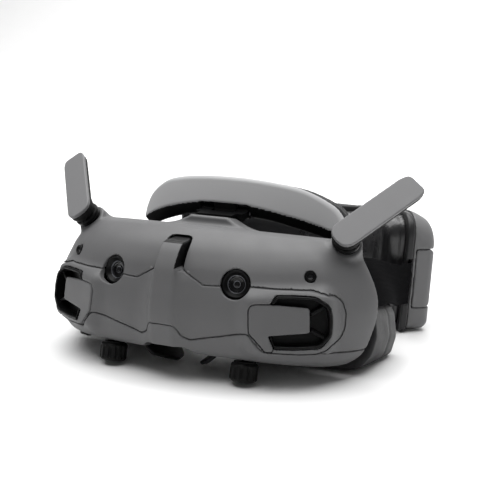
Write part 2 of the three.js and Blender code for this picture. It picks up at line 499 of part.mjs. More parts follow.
// Leans a standing form in towards the pack's middle at its foot.
const drafted = (geometry) => {
  const position = geometry.attributes.position;
  for (let i = 0; i < position.count; i += 1) {
    const dx = position.getX(i) - PACK.centre[0], dy = position.getY(i) - PACK.centre[1];
    const scale = 1 - draftAt(position.getZ(i)) / Math.hypot(dx, dy);
    position.setX(i, PACK.centre[0] + dx * scale);
    position.setY(i, PACK.centre[1] + dy * scale);
  }
  return geometry;
};
const sector = (inner, outer, spread, low, high, middle = 0) =>
  toSolid(drafted(prismXY(arc(inner, outer, spread, middle), low, high)));
// The same, with a top edge that is lower in the middle and towards the outer face.
const DIP = { middle: 6, flat: 4, end: 44, slope: 7, from: 95, over: 14 };
const dippedSector = (inner, outer, spread, low, high) => {
  const geometry = prismXY(arc(inner, outer, spread), low, high);
  const position = geometry.attributes.position;
  for (let i = 0; i < position.count; i += 1) {
    const dx = position.getX(i) - PACK.centre[0], dy = position.getY(i) - PACK.centre[1];
    const angle = Math.abs(90 - PACK.turn - THREE.MathUtils.radToDeg(Math.atan2(dy, dx)));
    const outwards = THREE.MathUtils.clamp((Math.hypot(dx, dy) - DIP.from) / DIP.over, 0, 1);
    const sink = DIP.middle * (1 - THREE.MathUtils.smoothstep(angle, DIP.flat, DIP.end))
      + DIP.slope * outwards ** 1.5;
    position.setZ(i, position.getZ(i) === high ? high - sink : position.getZ(i));
  }
  return toSolid(drafted(geometry));
};
const packPlace = (degrees, radius, z) => new THREE.Matrix4().makeTranslation(PACK.centre[0], PACK.centre[1], z)
  .multiply(new THREE.Matrix4().makeRotationZ(-THREE.MathUtils.degToRad(degrees + PACK.turn)))
  .multiply(shift(0, radius - draftAt(z), 0));

const linerIn = PACK.inner + PACK.cushion;
const linerOut = linerIn + PACK.liner;
const packOut = linerOut + PACK.shell;
const CORNER = 8;                  // what is cut off each upper corner
const cornerCuts = (spread, top) => sides.map(([, side]) => toSolid(box([-20, 20], [-45, 15], [-20, 20])
  .rotateY(side * Math.PI / 4).translate(side * (20 - CORNER) / Math.SQRT2 + side * CORNER / 3, 0,
    (20 - CORNER) / Math.SQRT2 + CORNER / 3).applyMatrix4(packPlace(side * spread, packOut, top))));
const cushionSolid = dippedSector(PACK.inner, linerIn - GAP, PACK.spread - 2, PACK.low + 3, PACK.high - 1.5);
add('pack_cushion', cut(cushionSolid, ...cornerCuts(PACK.spread - 2, PACK.high - 1.5)), softGray);
const linerSolid = dippedSector(linerIn, linerOut, PACK.spread, PACK.low, PACK.high);
const shellSolid = dippedSector(linerOut + GAP, packOut, PACK.spread - 1, PACK.low + 1, PACK.high + 1);
const roomIn = linerOut - 1.4, roomOut = packOut - 2.2;
const cellRoom = dippedSector(roomIn, roomOut, PACK.spread - 9, PACK.low + 5, PACK.high - 5);
const buttonPlace = packPlace(-20, packOut, 44);
const outward = new THREE.Matrix4().makeRotationX(-Math.PI / 2);
const buttonRoom = toSolid(disc(4 + GAP, -12, 3).applyMatrix4(outward).applyMatrix4(buttonPlace));
const portRoom = toSolid(box([-4.6, 4.6], [-5, 4], [-1.7, 1.7]).applyMatrix4(packPlace(28, packOut, 40)));
const slotRadius = linerIn + PACK.liner / 2;
const slotHeight = STRAP.width / 2 + 1;
const strapRooms = sides.map(([, side]) => toSolid(box([-4, 4], [-1.4, 1.4], [-slotHeight, slotHeight])
  .applyMatrix4(packPlace(side * PACK.spread, slotRadius, STRAP.back))));
add('pack_liner', cut(linerSolid, cellRoom, ...strapRooms, ...cornerCuts(PACK.spread, PACK.high)), black);
const PANEL = { at: 46.6, spread: 2.4, low: 13, high: 43, depth: 9.6 };
const panel = (side, extra, outer) => sector(packOut - PANEL.depth - extra, outer, PANEL.spread + extra / 2,
  PANEL.low - extra, PANEL.high + extra, side * PANEL.at);
const panelRooms = sides.map(([, side]) => panel(side, GAP, packOut + 3));
add('pack_shell', cut(shellSolid, cellRoom, buttonRoom, portRoom, ...panelRooms,
  ...cornerCuts(PACK.spread - 1, PACK.high + 1)), gray);
for (const [name, side] of sides) {
  add(`pack_${name}_panel`, panel(side, 0, packOut - 0.2), lightGray);
}

const CELL = { at: [-27, -9, 9, 27], radius: 4.9, low: 7, high: 42 };
const cellRadius = (roomIn + roomOut) / 2;
const cellBlock = CELL.at.map((degrees) => toSolid(drafted(disc(CELL.radius, CELL.low, CELL.high, 16)
  .applyMatrix4(packPlace(degrees, cellRadius + PACK.draft, 0)))));
const cellTies = sector(linerOut - 1.1, linerOut - 0.1, 30, 12, 20);
add('pack_cells', join(cellTies, ...cellBlock), paint(0x2f5f9a, 0.4));
add('pack_board', box([-9, 9], [-4.6, -3.4], [-9, 9]).applyMatrix4(packPlace(-18, packOut, 35)), boardGreen);
add('power_button', disc(4, -1.8, 0.7, 20).applyMatrix4(outward).applyMatrix4(buttonPlace), lightGray);

// ---- Webbing: a flat ribbon that leans with the visor's side and stands upright and lower at the pack ----
const RIBBON = { steps: 16, rows: 3 };
for (const [name, side] of sides) {
  const end = new THREE.Vector3().applyMatrix4(packPlace(side * (PACK.spread + 0.8), slotRadius, STRAP.back));
  const path = new THREE.CubicBezierCurve(new THREE.Vector2(side * 67, 42), new THREE.Vector2(side * 72, 58),
    new THREE.Vector2(end.x - side * 4, end.y - 20), new THREE.Vector2(end.x, end.y));
  const ribbon = new THREE.BoxGeometry(1, 1, 1, RIBBON.steps, 1, RIBBON.rows);
  const position = ribbon.attributes.position;
  for (let i = 0; i < position.count; i += 1) {
    const along = position.getX(i) + 0.5;
    const point = path.getPoint(along);
    const tangent = path.getTangent(along);
    const offset = position.getY(i) * STRAP.thick;
    const up = position.getZ(i) + 0.5;
    const near = 1 - THREE.MathUtils.smoothstep(point.y, 45, end.y);
    const middle = THREE.MathUtils.lerp(STRAP.back, STRAP.front, near);
    const lean = side * STRAP.flare * near * (1 - up);
    position.setXYZ(i, point.x - tangent.y * offset + lean, point.y + tangent.x * offset,
      middle + STRAP.width * (up - 0.5));
  }
  add(`${name}_webbing`, toSolid(ribbon), webbingBlack);
}

export default goggles;
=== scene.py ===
import functools
import math

import bmesh
import bpy
import numpy as np
from mathutils import Matrix, Vector
from mathutils.kdtree import KDTree


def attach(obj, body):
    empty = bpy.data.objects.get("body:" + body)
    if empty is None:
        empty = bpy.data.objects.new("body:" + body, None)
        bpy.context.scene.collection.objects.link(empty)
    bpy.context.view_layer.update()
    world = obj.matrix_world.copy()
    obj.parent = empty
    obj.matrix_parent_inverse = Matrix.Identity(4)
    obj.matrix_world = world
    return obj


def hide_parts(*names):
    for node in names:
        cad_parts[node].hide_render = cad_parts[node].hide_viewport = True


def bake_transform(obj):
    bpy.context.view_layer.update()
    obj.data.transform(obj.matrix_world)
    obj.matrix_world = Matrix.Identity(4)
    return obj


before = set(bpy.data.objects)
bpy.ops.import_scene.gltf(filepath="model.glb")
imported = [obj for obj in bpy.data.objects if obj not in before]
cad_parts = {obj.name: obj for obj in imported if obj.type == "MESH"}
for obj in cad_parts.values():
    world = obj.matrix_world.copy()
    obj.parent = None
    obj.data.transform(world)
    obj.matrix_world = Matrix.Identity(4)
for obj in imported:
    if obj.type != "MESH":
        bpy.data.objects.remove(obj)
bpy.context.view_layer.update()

# Shapes are worked out in millimetres with y = 0 at the front cameras, then moved to the row frame.
CENTRE_Y = 75.3
TILT = math.radians(14)
COS, SIN = math.cos(TILT), math.sin(TILT)
SIDES = (("left", 1), ("right", -1))


def to_frame(points):
    """Millimetres with y = 0 at the cameras, to metres in the row frame."""
    return (np.asarray(points, float) - (0, CENTRE_Y, 0)) / 1000


def leaning(y, z):
    """(back, up) along the visor's own axes, which lean back with it."""
    return COS * y - SIN * z, SIN * y + COS * z


# ---- distance fields
def smooth_min(a, b, k):
    """Two solids together, blended over a distance k."""
    h = np.clip(0.5 + 0.5 * (b - a) / k, 0, 1)
    return b + (a - b) * h - k * h * (1 - h)


def round_and(a, b, r):
    """The overlap of two solids, with its edge rounded to radius r."""
    u, v = np.maximum(a + r, 0), np.maximum(b + r, 0)
    return np.minimum(np.maximum(a, b), -r) + np.sqrt(u * u + v * v)


def step(x, low, high):
    """0 below low and 1 above high, with an eased rise between them."""
    t = np.clip((x - low) / (high - low), 0, 1)
    return t * t * (3 - 2 * t)


def box_distance(sides, half, r=0.0):
    """Signed distance to a box with rounded edges, or to a rectangle, from its middle."""
    q = [np.abs(side) - h + r for side, h in zip(sides, half)]
    out = np.sqrt(sum(np.maximum(v, 0) ** 2 for v in q))
    return out + np.minimum(functools.reduce(np.maximum, q), 0) - r


def outline_distance(points, x, z):
    """Signed distance to a closed outline in a plane, negative inside."""
    best, inside = np.inf, False
    points = np.asarray(points, float)
    for (x0, z0), (x1, z1) in zip(points, np.roll(points, -1, 0)):
        ex, ez = x1 - x0, z1 - z0
        wx, wz = x - x0, z - z0
        u = np.clip((wx * ex + wz * ez) / max(ex * ex + ez * ez, 1e-12), 0, 1)
        best = np.minimum(best, (wx - ex * u) ** 2 + (wz - ez * u) ** 2)
        if ez != 0:
            inside = inside ^ (((z0 > z) != (z1 > z)) & (x < ex * wz / ez + x0))
    return np.sqrt(best) * np.where(inside, -1.0, 1.0)


def line_distance(points, x, z, steepness=0.94):
    """Height over a line of points that runs along x, scaled for its slope: negative below it."""
    px, pz = zip(*points)
    return (z - np.interp(x, px, pz)) * steepness


SHARP_REACH, FLAT_ANGLE = 0.05, 3.1


def corner(start, p, end, steps):
    """Points of the bend from start to end that p pulls on."""
    return [(1 - t) ** 2 * start + 2 * t * (1 - t) * p + t * t * end
            for t in (k / steps for k in range(steps + 1))]


def filleted(points, radius, steps=5):
    """A closed outline with every corner rounded; radius is one number, or one for each corner."""
    points = np.asarray(points, float)
    n = len(points)
    radii = np.broadcast_to(radius, n)
    out = []
    for i in range(n):
        p, a, b = points[i], points[i - 1], points[(i + 1) % n]
        da, db = a - p, b - p
        la, lb = np.linalg.norm(da), np.linalg.norm(db)
        da, db = da / la, db / lb
        angle = math.acos(np.clip(da @ db, -1, 1))
        reach = min(radii[i] / max(math.tan(angle / 2), 1e-6), 0.48 * la, 0.48 * lb)
        if reach < SHARP_REACH or angle > FLAT_ANGLE:
            out.append(p)
            continue
        out += corner(p + da * reach, p, p + db * reach, steps)
    return np.array(out)


def curve(pairs):
    """A smooth curve through (position, value) pairs, as a function."""
    xs, vs = np.array(pairs, float).T
    last = len(xs) - 1
    before = np.maximum(0, np.arange(last + 1) - 1)
    after = np.minimum(last, np.arange(last + 1) + 1)
    slopes = (vs[after] - vs[before]) / (xs[after] - xs[before])
    fine = np.linspace(xs[0], xs[-1], 800)
    i = np.clip(np.searchsorted(xs, fine) - 1, 0, last - 1)
    span = xs[i + 1] - xs[i]
    t = (fine - xs[i]) / span
    values = ((2 * t**3 - 3 * t**2 + 1) * vs[i] + (t**3 - 2 * t**2 + t) * span * slopes[i]
              + (3 * t**2 - 2 * t**3) * vs[i + 1] + (t**3 - t**2) * span * slopes[i + 1])
    return lambda at: np.interp(at, fine, values)


def mirrored_outline(half):
    """Both halves of an outline whose first and last points lie on x = 0."""
    return list(half) + [(-x, z) for x, z in reversed(half) if x > 0]


def mirrored(half, radii):
    """The same, filleted."""
    return filleted(mirrored_outline(half), radii + radii[-2:0:-1])


# ---- fields to meshes
def surface_net(values, low, size):
    """Vertices and quads of the zero surface of a block of samples."""
    inside = values < 0
    count = np.zeros(np.array(values.shape) - 1, np.uint8)
    for i in (0, 1):
        for j in (0, 1):
            for k in (0, 1):
                count += inside[i:i + count.shape[0], j:j + count.shape[1], k:k + count.shape[2]]
    cells = np.argwhere((count > 0) & (count < 8))
    number = np.full(count.shape, -1, np.int32)
    number[tuple(cells.T)] = np.arange(len(cells))
    total, hits = np.zeros((len(cells), 3)), np.zeros(len(cells))
    for axis in range(3):
        others = [a for a in range(3) if a != axis]
        for p in (0, 1):
            for q in (0, 1):
                offset = np.zeros(3, int)
                offset[others[0]], offset[others[1]] = p, q
                start = cells + offset
                end = start.copy()
                end[:, axis] += 1
                a, b = values[tuple(start.T)], values[tuple(end.T)]
                crosses = (a < 0) != (b < 0)
                t = np.where(crosses, a / np.where(crosses, a - b, 1), 0)
                place = start.astype(float)
                place[:, axis] += t
                total[crosses] += place[crosses]
                hits[crosses] += 1
    vertices = total / hits[:, None] * size + low
    quads = []
    for axis in range(3):
        u, v = (axis + 1) % 3, (axis + 2) % 3
        lower = [slice(None)] * 3
        upper = [slice(None)] * 3
        lower[axis], upper[axis] = slice(0, -1), slice(1, None)
        a, b = inside[tuple(lower)], inside[tuple(upper)]
        edges = np.argwhere(a != b)
        keep = (edges[:, u] > 0) & (edges[:, v] > 0)
        keep &= (edges[:, u] < values.shape[u] - 1) & (edges[:, v] < values.shape[v] - 1)
        edges = edges[keep]
        outward = a[tuple(edges.T)]
        around = []
        for du, dv in ((-1, -1), (0, -1), (0, 0), (-1, 0)):
            cell = edges.copy()
            cell[:, u] += du
            cell[:, v] += dv
            around.append(number[tuple(cell.T)])
        quad = np.stack(around, 1)
        quad[~outward] = quad[~outward][:, ::-1]
        quads.append(quad)
    return vertices, np.concatenate(quads)


def slope_of(field, p, eps=0.06):
    """The field's gradient at each point."""
    g = np.empty_like(p)
    for axis in range(3):
        a, b = p.copy(), p.copy()
        a[:, axis] += eps
        b[:, axis] -= eps
        g[:, axis] = (field(*a.T) - field(*b.T)) / (2 * eps)
    return g


def settle(field, p, quads, size, rounds=3, ease=0.35):
    """Moves vertices onto the true surface, easing them along it so that the quads are even."""
    least_slope2, most_move = 0.04, 0.7 * size
    pairs = np.concatenate([quads[:, [0, 1]], quads[:, [1, 2]], quads[:, [2, 3]], quads[:, [3, 0]]])
    degree = np.bincount(pairs[:, 0], minlength=len(p)) + 1e-9
    for k in range(rounds):
        g = slope_of(field, p)
        length2 = np.maximum((g * g).sum(1), least_slope2)
        move = -field(*p.T)[:, None] * g / length2[:, None]
        reach = np.linalg.norm(move, axis=1, keepdims=True)
        p = p + move * np.minimum(1, most_move / np.maximum(reach, 1e-9))
        if k < rounds - 1:
            mean = np.stack([np.bincount(pairs[:, 0], p[pairs[:, 1], axis], len(p))
                             for axis in range(3)], 1) / degree[:, None]
            n = g / np.sqrt(length2)[:, None]
            side = mean - p
            side -= (side * n).sum(1)[:, None] * n
            p = p + ease * side
    return p


def sculpt(field, low, high, size, both=False):
    """(vertices, quads, normals) of a field's surface. both: the field mirrors in x = 0."""
    low, high = np.array(low, float), np.array(high, float)
    if both:
        steps = int(math.ceil(high[0] / size)) + 1
        xs = (np.arange(steps) + 0.5) * size
    else:
        xs = np.arange(low[0], high[0] + size, size)
    ys = np.arange(low[1], high[1] + size, size)
    zs = np.arange(low[2], high[2] + size, size)
    values = field(xs[:, None, None], ys[None, :, None], zs[None, None, :]).astype(np.float32)
    values = np.broadcast_to(values, (len(xs), len(ys), len(zs)))
    if both:
        values = np.concatenate([values[::-1], values])
        low[0] = -xs[-1]
    vertices, quads = surface_net(values, low, size)
    vertices = settle(field, vertices, quads, size)
    normals = slope_of(field, vertices)
    normals /= np.maximum(np.linalg.norm(normals, axis=1, keepdims=True), 1e-9)
    return vertices, quads, normals


def mesh_object(name, vertices, faces, normals=None):
    """A mesh object from millimetre points."""
    mesh = bpy.data.meshes.new(name)
    mesh.from_pydata(to_frame(vertices).tolist(), [], [list(map(int, f)) for f in faces])
    mesh.validate()
    mesh.update()
    mesh.polygons.foreach_set("use_smooth", [True] * len(mesh.polygons))
    if normals is not None:
        mesh.normals_split_custom_set_from_vertices(np.asarray(normals).tolist())
    made = bpy.data.objects.new(name, mesh)
    bpy.context.scene.collection.objects.link(made)
    return made


def sculpted(name, field, low, high, size, both=False, flip=False):
    """A mesh object of a field. flip: it is mirrored in x = 0."""
    v, q, n = sculpt(field, low, high, size, both)
    if flip:
        v, n, q = v * (-1, 1, 1), n * (-1, 1, 1), q[:, ::-1]
    return mesh_object(name, v, q, n)


def turned(name, profile, place, segments=64, lobes=None):
    """A turned piece: (radius, height) pairs about the place's z axis.

    lobes(angle, radius, height) gives each point its radius."""
    verts, faces = [], []
    n = len(profile)
    for i in range(segments):
        a = 2 * math.pi * i / segments
        for r, h in profile:
            rr = lobes(a, r, h) if lobes else r
            verts.append(place @ Vector((rr * math.cos(a), rr * math.sin(a), h)))
    for i in range(segments):
        j = (i + 1) % segments
        for k in range(n - 1):
            faces.append((i * n + k, j * n + k, j * n + k + 1, i * n + k + 1))
    made = mesh_object(name, [tuple(v) for v in verts], faces)
    weld(made, 2e-6)
    sharpen(made, 32)
    return made


def weld(obj, gap):
    """Joins points closer than the gap, in metres, and turns the faces outwards."""
    b = bmesh.new()
    b.from_mesh(obj.data)
    bmesh.ops.remove_doubles(b, verts=b.verts, dist=gap)
    bmesh.ops.recalc_face_normals(b, faces=b.faces)
    b.to_mesh(obj.data)
    b.free()


def sharpen(obj, degrees):
    """Edges sharper than this many degrees shade as edges."""
    b = bmesh.new()
    b.from_mesh(obj.data)
    limit = math.radians(degrees)
    for e in b.edges:
        e.smooth = not (len(e.link_faces) == 2 and e.calc_face_angle(0) > limit)
    b.to_mesh(obj.data)
    b.free()


def profile_round(points, radius, steps=4):
    """A turned profile with its inner corners rounded."""
    points = [np.array(p, float) for p in points]
    out = [points[0]]
    for a, p, b in zip(points, points[1:], points[2:]):
        la, lb = np.linalg.norm(a - p), np.linalg.norm(b - p)
        reach = min(radius, 0.45 * la, 0.45 * lb)
        out += corner(p + (a - p) / la * reach, p, p + (b - p) / lb * reach, steps)
    return [tuple(p) for p in out + [points[-1]]]


# ---- materials
def material(name, color, rough, metal=0.0, coat=0.0, grain=None, mottled=0.0, rough_var=0.0,
             specular=0.5):
    """grain: (size in millimetres, bump strength). mottled, rough_var: how far the colour and the
    roughness vary."""
    m = bpy.data.materials.new(name)
    m.use_nodes = True
    tree = m.node_tree
    shader = tree.nodes["Principled BSDF"]
    for socket, value in (("Base Color", (*color, 1)), ("Roughness", rough), ("Metallic", metal),
                          ("Coat Weight", coat), ("Coat Roughness", 0.12),
                          ("Specular IOR Level", specular)):
        shader.inputs[socket].default_value = value
    coords = tree.nodes.new("ShaderNodeTexCoord")

    def noise(size_mm, detail, seed=0.0):
        n = tree.nodes.new("ShaderNodeTexNoise")
        n.inputs["Scale"].default_value = 1000 / size_mm
        n.inputs["Detail"].default_value = detail
        shift = tree.nodes.new("ShaderNodeVectorMath")
        shift.operation = "ADD"
        shift.inputs[1].default_value = (seed, seed * 0.7, seed * 1.3)
        tree.links.new(coords.outputs["Object"], shift.inputs[0])
        tree.links.new(shift.outputs[0], n.inputs["Vector"])
        return n

    def ranged(source, from_low, from_high, to_low, to_high):
        ramp = tree.nodes.new("ShaderNodeMapRange")
        for socket, value in (("From Min", from_low), ("From Max", from_high),
                              ("To Min", to_low), ("To Max", to_high)):
            ramp.inputs[socket].default_value = value
        tree.links.new(source.outputs["Fac"], ramp.inputs["Value"])
        return ramp.outputs["Result"]

    if mottled:
        amount = ranged(noise(23, 3, 0.31), 0.3, 0.7, 1 - mottled, 1 + mottled)
        tint = tree.nodes.new("ShaderNodeVectorMath")
        tint.operation = "SCALE"
        tint.inputs[0].default_value = color
        tree.links.new(amount, tint.inputs["Scale"])
        tree.links.new(tint.outputs[0], shader.inputs["Base Color"])
    if rough_var:
        amount = ranged(noise(9, 4, 0.77), 0.25, 0.75,
                        max(0.02, rough - rough_var), min(1.0, rough + rough_var))
        tree.links.new(amount, shader.inputs["Roughness"])
    if grain:
        size_mm, strength = grain
        fine = noise(size_mm, 2)
        bump = tree.nodes.new("ShaderNodeBump")
        bump.inputs["Strength"].default_value = strength
        bump.inputs["Distance"].default_value = size_mm / 4000
        tree.links.new(fine.outputs["Fac"], bump.inputs["Height"])
        tree.links.new(bump.outputs["Normal"], shader.inputs["Normal"])
    return m


PAINT = dict(specular=0.35, grain=(0.45, 0.35), rough_var=0.05)
GRAY = material("matte_gray", (0.104, 0.104, 0.106), 0.5, mottled=0.025, **PAINT)
PAD_GRAY = material("pad_gray", (0.39, 0.39, 0.395), 0.52, mottled=0.02, **PAINT)
PACK_GRAY = material("pack_gray", (0.15, 0.15, 0.152), 0.5, mottled=0.025, **PAINT)
LIGHT = material("light_gray", (0.155, 0.155, 0.158), 0.5, specular=0.35, grain=(0.45, 0.3),
                 mottled=0.02, rough_var=0.05)
BLACK = material("satin_black", (0.004, 0.004, 0.0042), 0.34, specular=0.12, grain=(0.5, 0.2),
                 rough_var=0.08)
MATTE_BLACK = material("matte_black", (0.006, 0.006, 0.006), 0.6, specular=0.15,
                       grain=(0.5, 0.35), rough_var=0.08)
RUBBER = material("black_rubber", (0.005, 0.005, 0.005), 0.5, specular=0.14, grain=(0.7, 0.5),
                  rough_var=0.1)
GLOSS = material("gloss_black", (0.003, 0.003, 0.0035), 0.14, specular=0.3, rough_var=0.04)
GLASS = material("lens_glass", (0.002, 0.002, 0.003), 0.06, specular=0.45, rough_var=0.02)
FOAM = material("coated_foam", (0.02, 0.02, 0.021), 0.42, specular=0.15, grain=(0.8, 0.4),
                mottled=0.05, rough_var=0.08)
LINER = material("pack_liner", (0.02, 0.02, 0.021), 0.35, specular=0.3, grain=(0.5, 0.2),
                 rough_var=0.08)
STEEL = material("pin_steel", (0.5, 0.5, 0.52), 0.3, metal=1.0, grain=(0.6, 0.15), rough_var=0.1)
BOARD = material("board_green", (0.01, 0.075, 0.035), 0.4, grain=(1.6, 0.5), mottled=0.3,
                 rough_var=0.15)
WRAP = material("cell_wrap", (0.008, 0.01, 0.018), 0.3, grain=(3.0, 0.2), mottled=0.08,
                rough_var=0.1)
FLOOR = material("floor", (0.82, 0.82, 0.82), 0.75, specular=0.2, mottled=0.004)

# ---- the visor's outer form
WALL = 2.2
SEAM = 0.45
SOFT_EDGE = 0.35
BOTTOM, TOP = 11, 68.5
REAR_AT, REAR_SLOPE, REAR_STEEPNESS = 28, 0.25, 1.031
# By height: half the width, how far forward the front is, and how square and full the section is.
half_width = curve([(-6, 40), (0, 54), (3.3, 64.4), (7.3, 73), (12.3, 78.7), (23, 82.5),
    (30, 83.5), (36, 83), (41.5, 81), (46.8, 78), (52, 74.5), (56, 70.5), (60, 63), (64, 50),
    (68, 26)])
front_depth = curve([(-6, 8), (4, 0), (10, -4), (14, -6.5), (20, -8), (30, -8.5), (38, -7.5),
    (45, -5.5), (51, -4), (56, -1), (60, 2.5), (63, 7), (66, 14), (68, 22)])
squareness = curve([(-6, 3), (30, 3), (43, 2.7), (50, 2.2), (68, 2.1)])
fullness = curve([(-6, 0.7), (30, 0.73), (43, 0.68), (50, 0.58), (68, 0.56)])
ridge_proud = curve([(9, 2), (18, 4.5), (27, 5.6), (38, 6), (45, 5.8), (51, 5.6), (56, 5.6),
    (62, 5.6)])
ridge_flank = curve([(9, 14), (20, 11), (30, 9), (45, 6), (51, 0.9), (62, 0.4)])
RIDGE_HALF, TAB_TOP = 5.4, 62.3


def rear_edge(z):
    return REAR_AT + REAR_SLOPE * z


def form_distance(x, y, z, e=0.3):
    """The visor's plain form, from its section at each height."""
    def across(x, z):
        return (np.abs(x) / half_width(z)) ** squareness(z)

    def deep(y, z):
        rear = rear_edge(z)
        return np.clip((rear - y) / (rear - front_depth(z)), 0, None) ** (1 / fullness(z))

    gx = (across(x + e, z) - across(x - e, z)) / (2 * e)
    gy = (deep(y + e, z) - deep(y - e, z)) / (2 * e)
    gz = (across(x, z + e) - across(x, z - e) + deep(y, z + e) - deep(y, z - e)) / (2 * e)
    return (across(x, z) + deep(y, z) - 1) / np.maximum(np.sqrt(gx**2 + gy**2 + gz**2), 0.012)


# The vent's own axes: u outwards along the face, w into the visor, v up. The vents mirror.
VENT_AT, VENT_YAW, VENT_PITCH = (54.5, 0.6, 30.8), math.radians(29), math.radians(9)
VENT_FAR, VENT_REACH = 9.0, 24


def vent_axes(x, y, z):
    dx, dy, dz = np.abs(x) - VENT_AT[0], y - VENT_AT[1], z - VENT_AT[2]
    u = math.cos(VENT_YAW) * dx + math.sin(VENT_YAW) * dy
    w = math.cos(VENT_YAW) * dy - math.sin(VENT_YAW) * dx
    return (u, math.cos(VENT_PITCH) * w - math.sin(VENT_PITCH) * dz,
            math.sin(VENT_PITCH) * w + math.cos(VENT_PITCH) * dz)


# The vent cover's outline, and the outline of the black trim round the opening.
TONGUE = filleted([(-16.3, -4), (-9.3, -12.1), (-6.4, -12.3), (-5.9, -10.6), (-8, -5.4),
    (9.4, -4.4), (10, -3.6), (10, 5.8), (9.2, 6.4), (-7.1, 8.2), (-16.3, 8.3)], [3, 2, 0.6, 0.3,
    0.4, 1.6, 1.6, 1.6, 1.6, 0.6, 3.5])
RIM = filleted([(-6.2, -10.8), (3, -11.4), (14.5, -11), (19.4, -5.5), (19.8, 0.5), (18.9, 7),
    (12.5, 11), (3, 11.7), (-4.3, 11.8), (-7.2, 8.0), (-7.9, -5.2)], [0.8, 2, 5, 4, 4, 5, 4, 2,
    1.2, 0.5, 0.5])


def in_vent(fn, far=VENT_FAR):
    """fn(u, w, v), worked out only near the vent."""
    def field(x, y, z):
        u, w, v = np.broadcast_arrays(*vent_axes(x, y, z))
        out = np.full(u.shape, far)
        close = (np.abs(u) < VENT_REACH) & (np.abs(v) < VENT_REACH) & (np.abs(w) < VENT_REACH)
        out[close] = fn(u[close], w[close], v[close])
        return out
    return field


vent_gap = in_vent(lambda u, w, v: np.minimum(outline_distance(TONGUE, u, v),
                                              outline_distance(RIM, u, v)))
vent_pod = in_vent(lambda u, w, v: box_distance((u - 1, w - 7, v + 0.4), (19.5, 7.6, 13.4), 4.5),
                   far=20.0)


# The nose tunnel is an arch that starts under the floor, and grows from the front to the back.
NOSE_FRONT, NOSE_FOOT = -12, -6


def nose_distance(x, y, z, e=0.3):
    def wide(y):
        return 17 + (y - NOSE_FRONT) / 20

    def high(y):
        return 16.5 + 12.5 * (y - NOSE_FRONT) / 60 - NOSE_FOOT

    def across(x, y):
        return (np.abs(x) / wide(y)) ** 4

    def rise(y, z):
        return (np.maximum(z - NOSE_FOOT, 0) / high(y)) ** 2

    gx = (across(x + e, y) - across(x - e, y)) / (2 * e)
    gy = (across(x, y + e) - across(x, y - e) + rise(y + e, z) - rise(y - e, z)) / (2 * e)
    gz = (rise(y, z + e) - rise(y, z - e)) / (2 * e)
    return (across(x, y) + rise(y, z) - 1) / np.maximum(np.sqrt(gx**2 + gy**2 + gz**2), 0.02)


def ridge_distance(x, y, z):
    """The centre ridge, which ends in the tab at the top. Its flanks spread as they go back."""
    proud, flank = ridge_proud(z), ridge_flank(z)
    back = proud + 2.6
    slope = flank / back
    out = y - (front_depth(z) - proud)
    side = np.abs(x) - (RIDGE_HALF - SEAM / 2) - np.minimum(out, back) * slope
    d = round_and(-out, side / np.sqrt(1 + slope**2), 0.8)
    return -smooth_min(-d, TAB_TOP - SEAM / 2 - z, 1.2)


BUMP = filleted([(-24, 66), (24, 66), (9.4, 73.4), (-9.4, 73.4)], [1, 1, 3, 3])


def hinge_bump(x, y, z):
    """The raised seat of the forehead pad's bracket."""
    s, t = leaning(y, z)
    return round_and(outline_distance(BUMP, x, t), np.abs(s - 21) - 6, 1.5)


# The left antenna: its pivot, the way its blade points, and the way its face looks.
PIVOT = np.array((70.2, 29.6, 65.8))
ALONG = np.array((0.535, 0.703, 0.465))
ALONG /= np.linalg.norm(ALONG)
AXIS = np.array((0.29, -0.665, 0.69))
AXIS -= ALONG * (AXIS @ ALONG)
AXIS /= np.linalg.norm(AXIS)
ACROSS = np.cross(AXIS, ALONG)


def blade_axes(x, y, z):
    """(along, across, out) of the left antenna, from its pivot."""
    dx, dy, dz = x - PIVOT[0], y - PIVOT[1], z - PIVOT[2]
    return [a[0] * dx + a[1] * dy + a[2] * dz for a in (ALONG, ACROSS, AXIS)]


def antenna_boss(x, y, z):
    """The stub under each antenna's neck, as part of the visor."""
    a, b, c = blade_axes(np.abs(x), y, z)
    return round_and(np.sqrt(a * a + b * b) - 7.4, np.abs(c + 20) - 11.5, 1.0)


def skin(x, y, z):
    """The visor's outer surface without its rear edge."""
    s, t = leaning(y, z)
    d = form_distance(x, y, z)
    d = smooth_min(d, vent_pod(x, y, z), 5)
    d = smooth_min(d, ridge_distance(x, y, z), np.where(z > 50, 0.3, 4.5))
    d = round_and(d, t - TOP, 2.5)
    d = round_and(d, BOTTOM - t, 3.0)
    d = smooth_min(d, antenna_boss(x, y, z), 3.0)
    return d


def rim_plane(y, z):
    return (y - REAR_SLOPE * z - REAR_AT) / REAR_STEEPNESS


def shell_parts(x, y, z):
    """The visor's wall, open at the back and over the nose, before it is parted into covers."""
    outer = skin(x, y, z)
    solid = round_and(outer, rim_plane(y, z), 0.8)
    return round_and(round_and(solid, -(outer + WALL), 0.4), -nose_distance(x, y, z), 0.8)


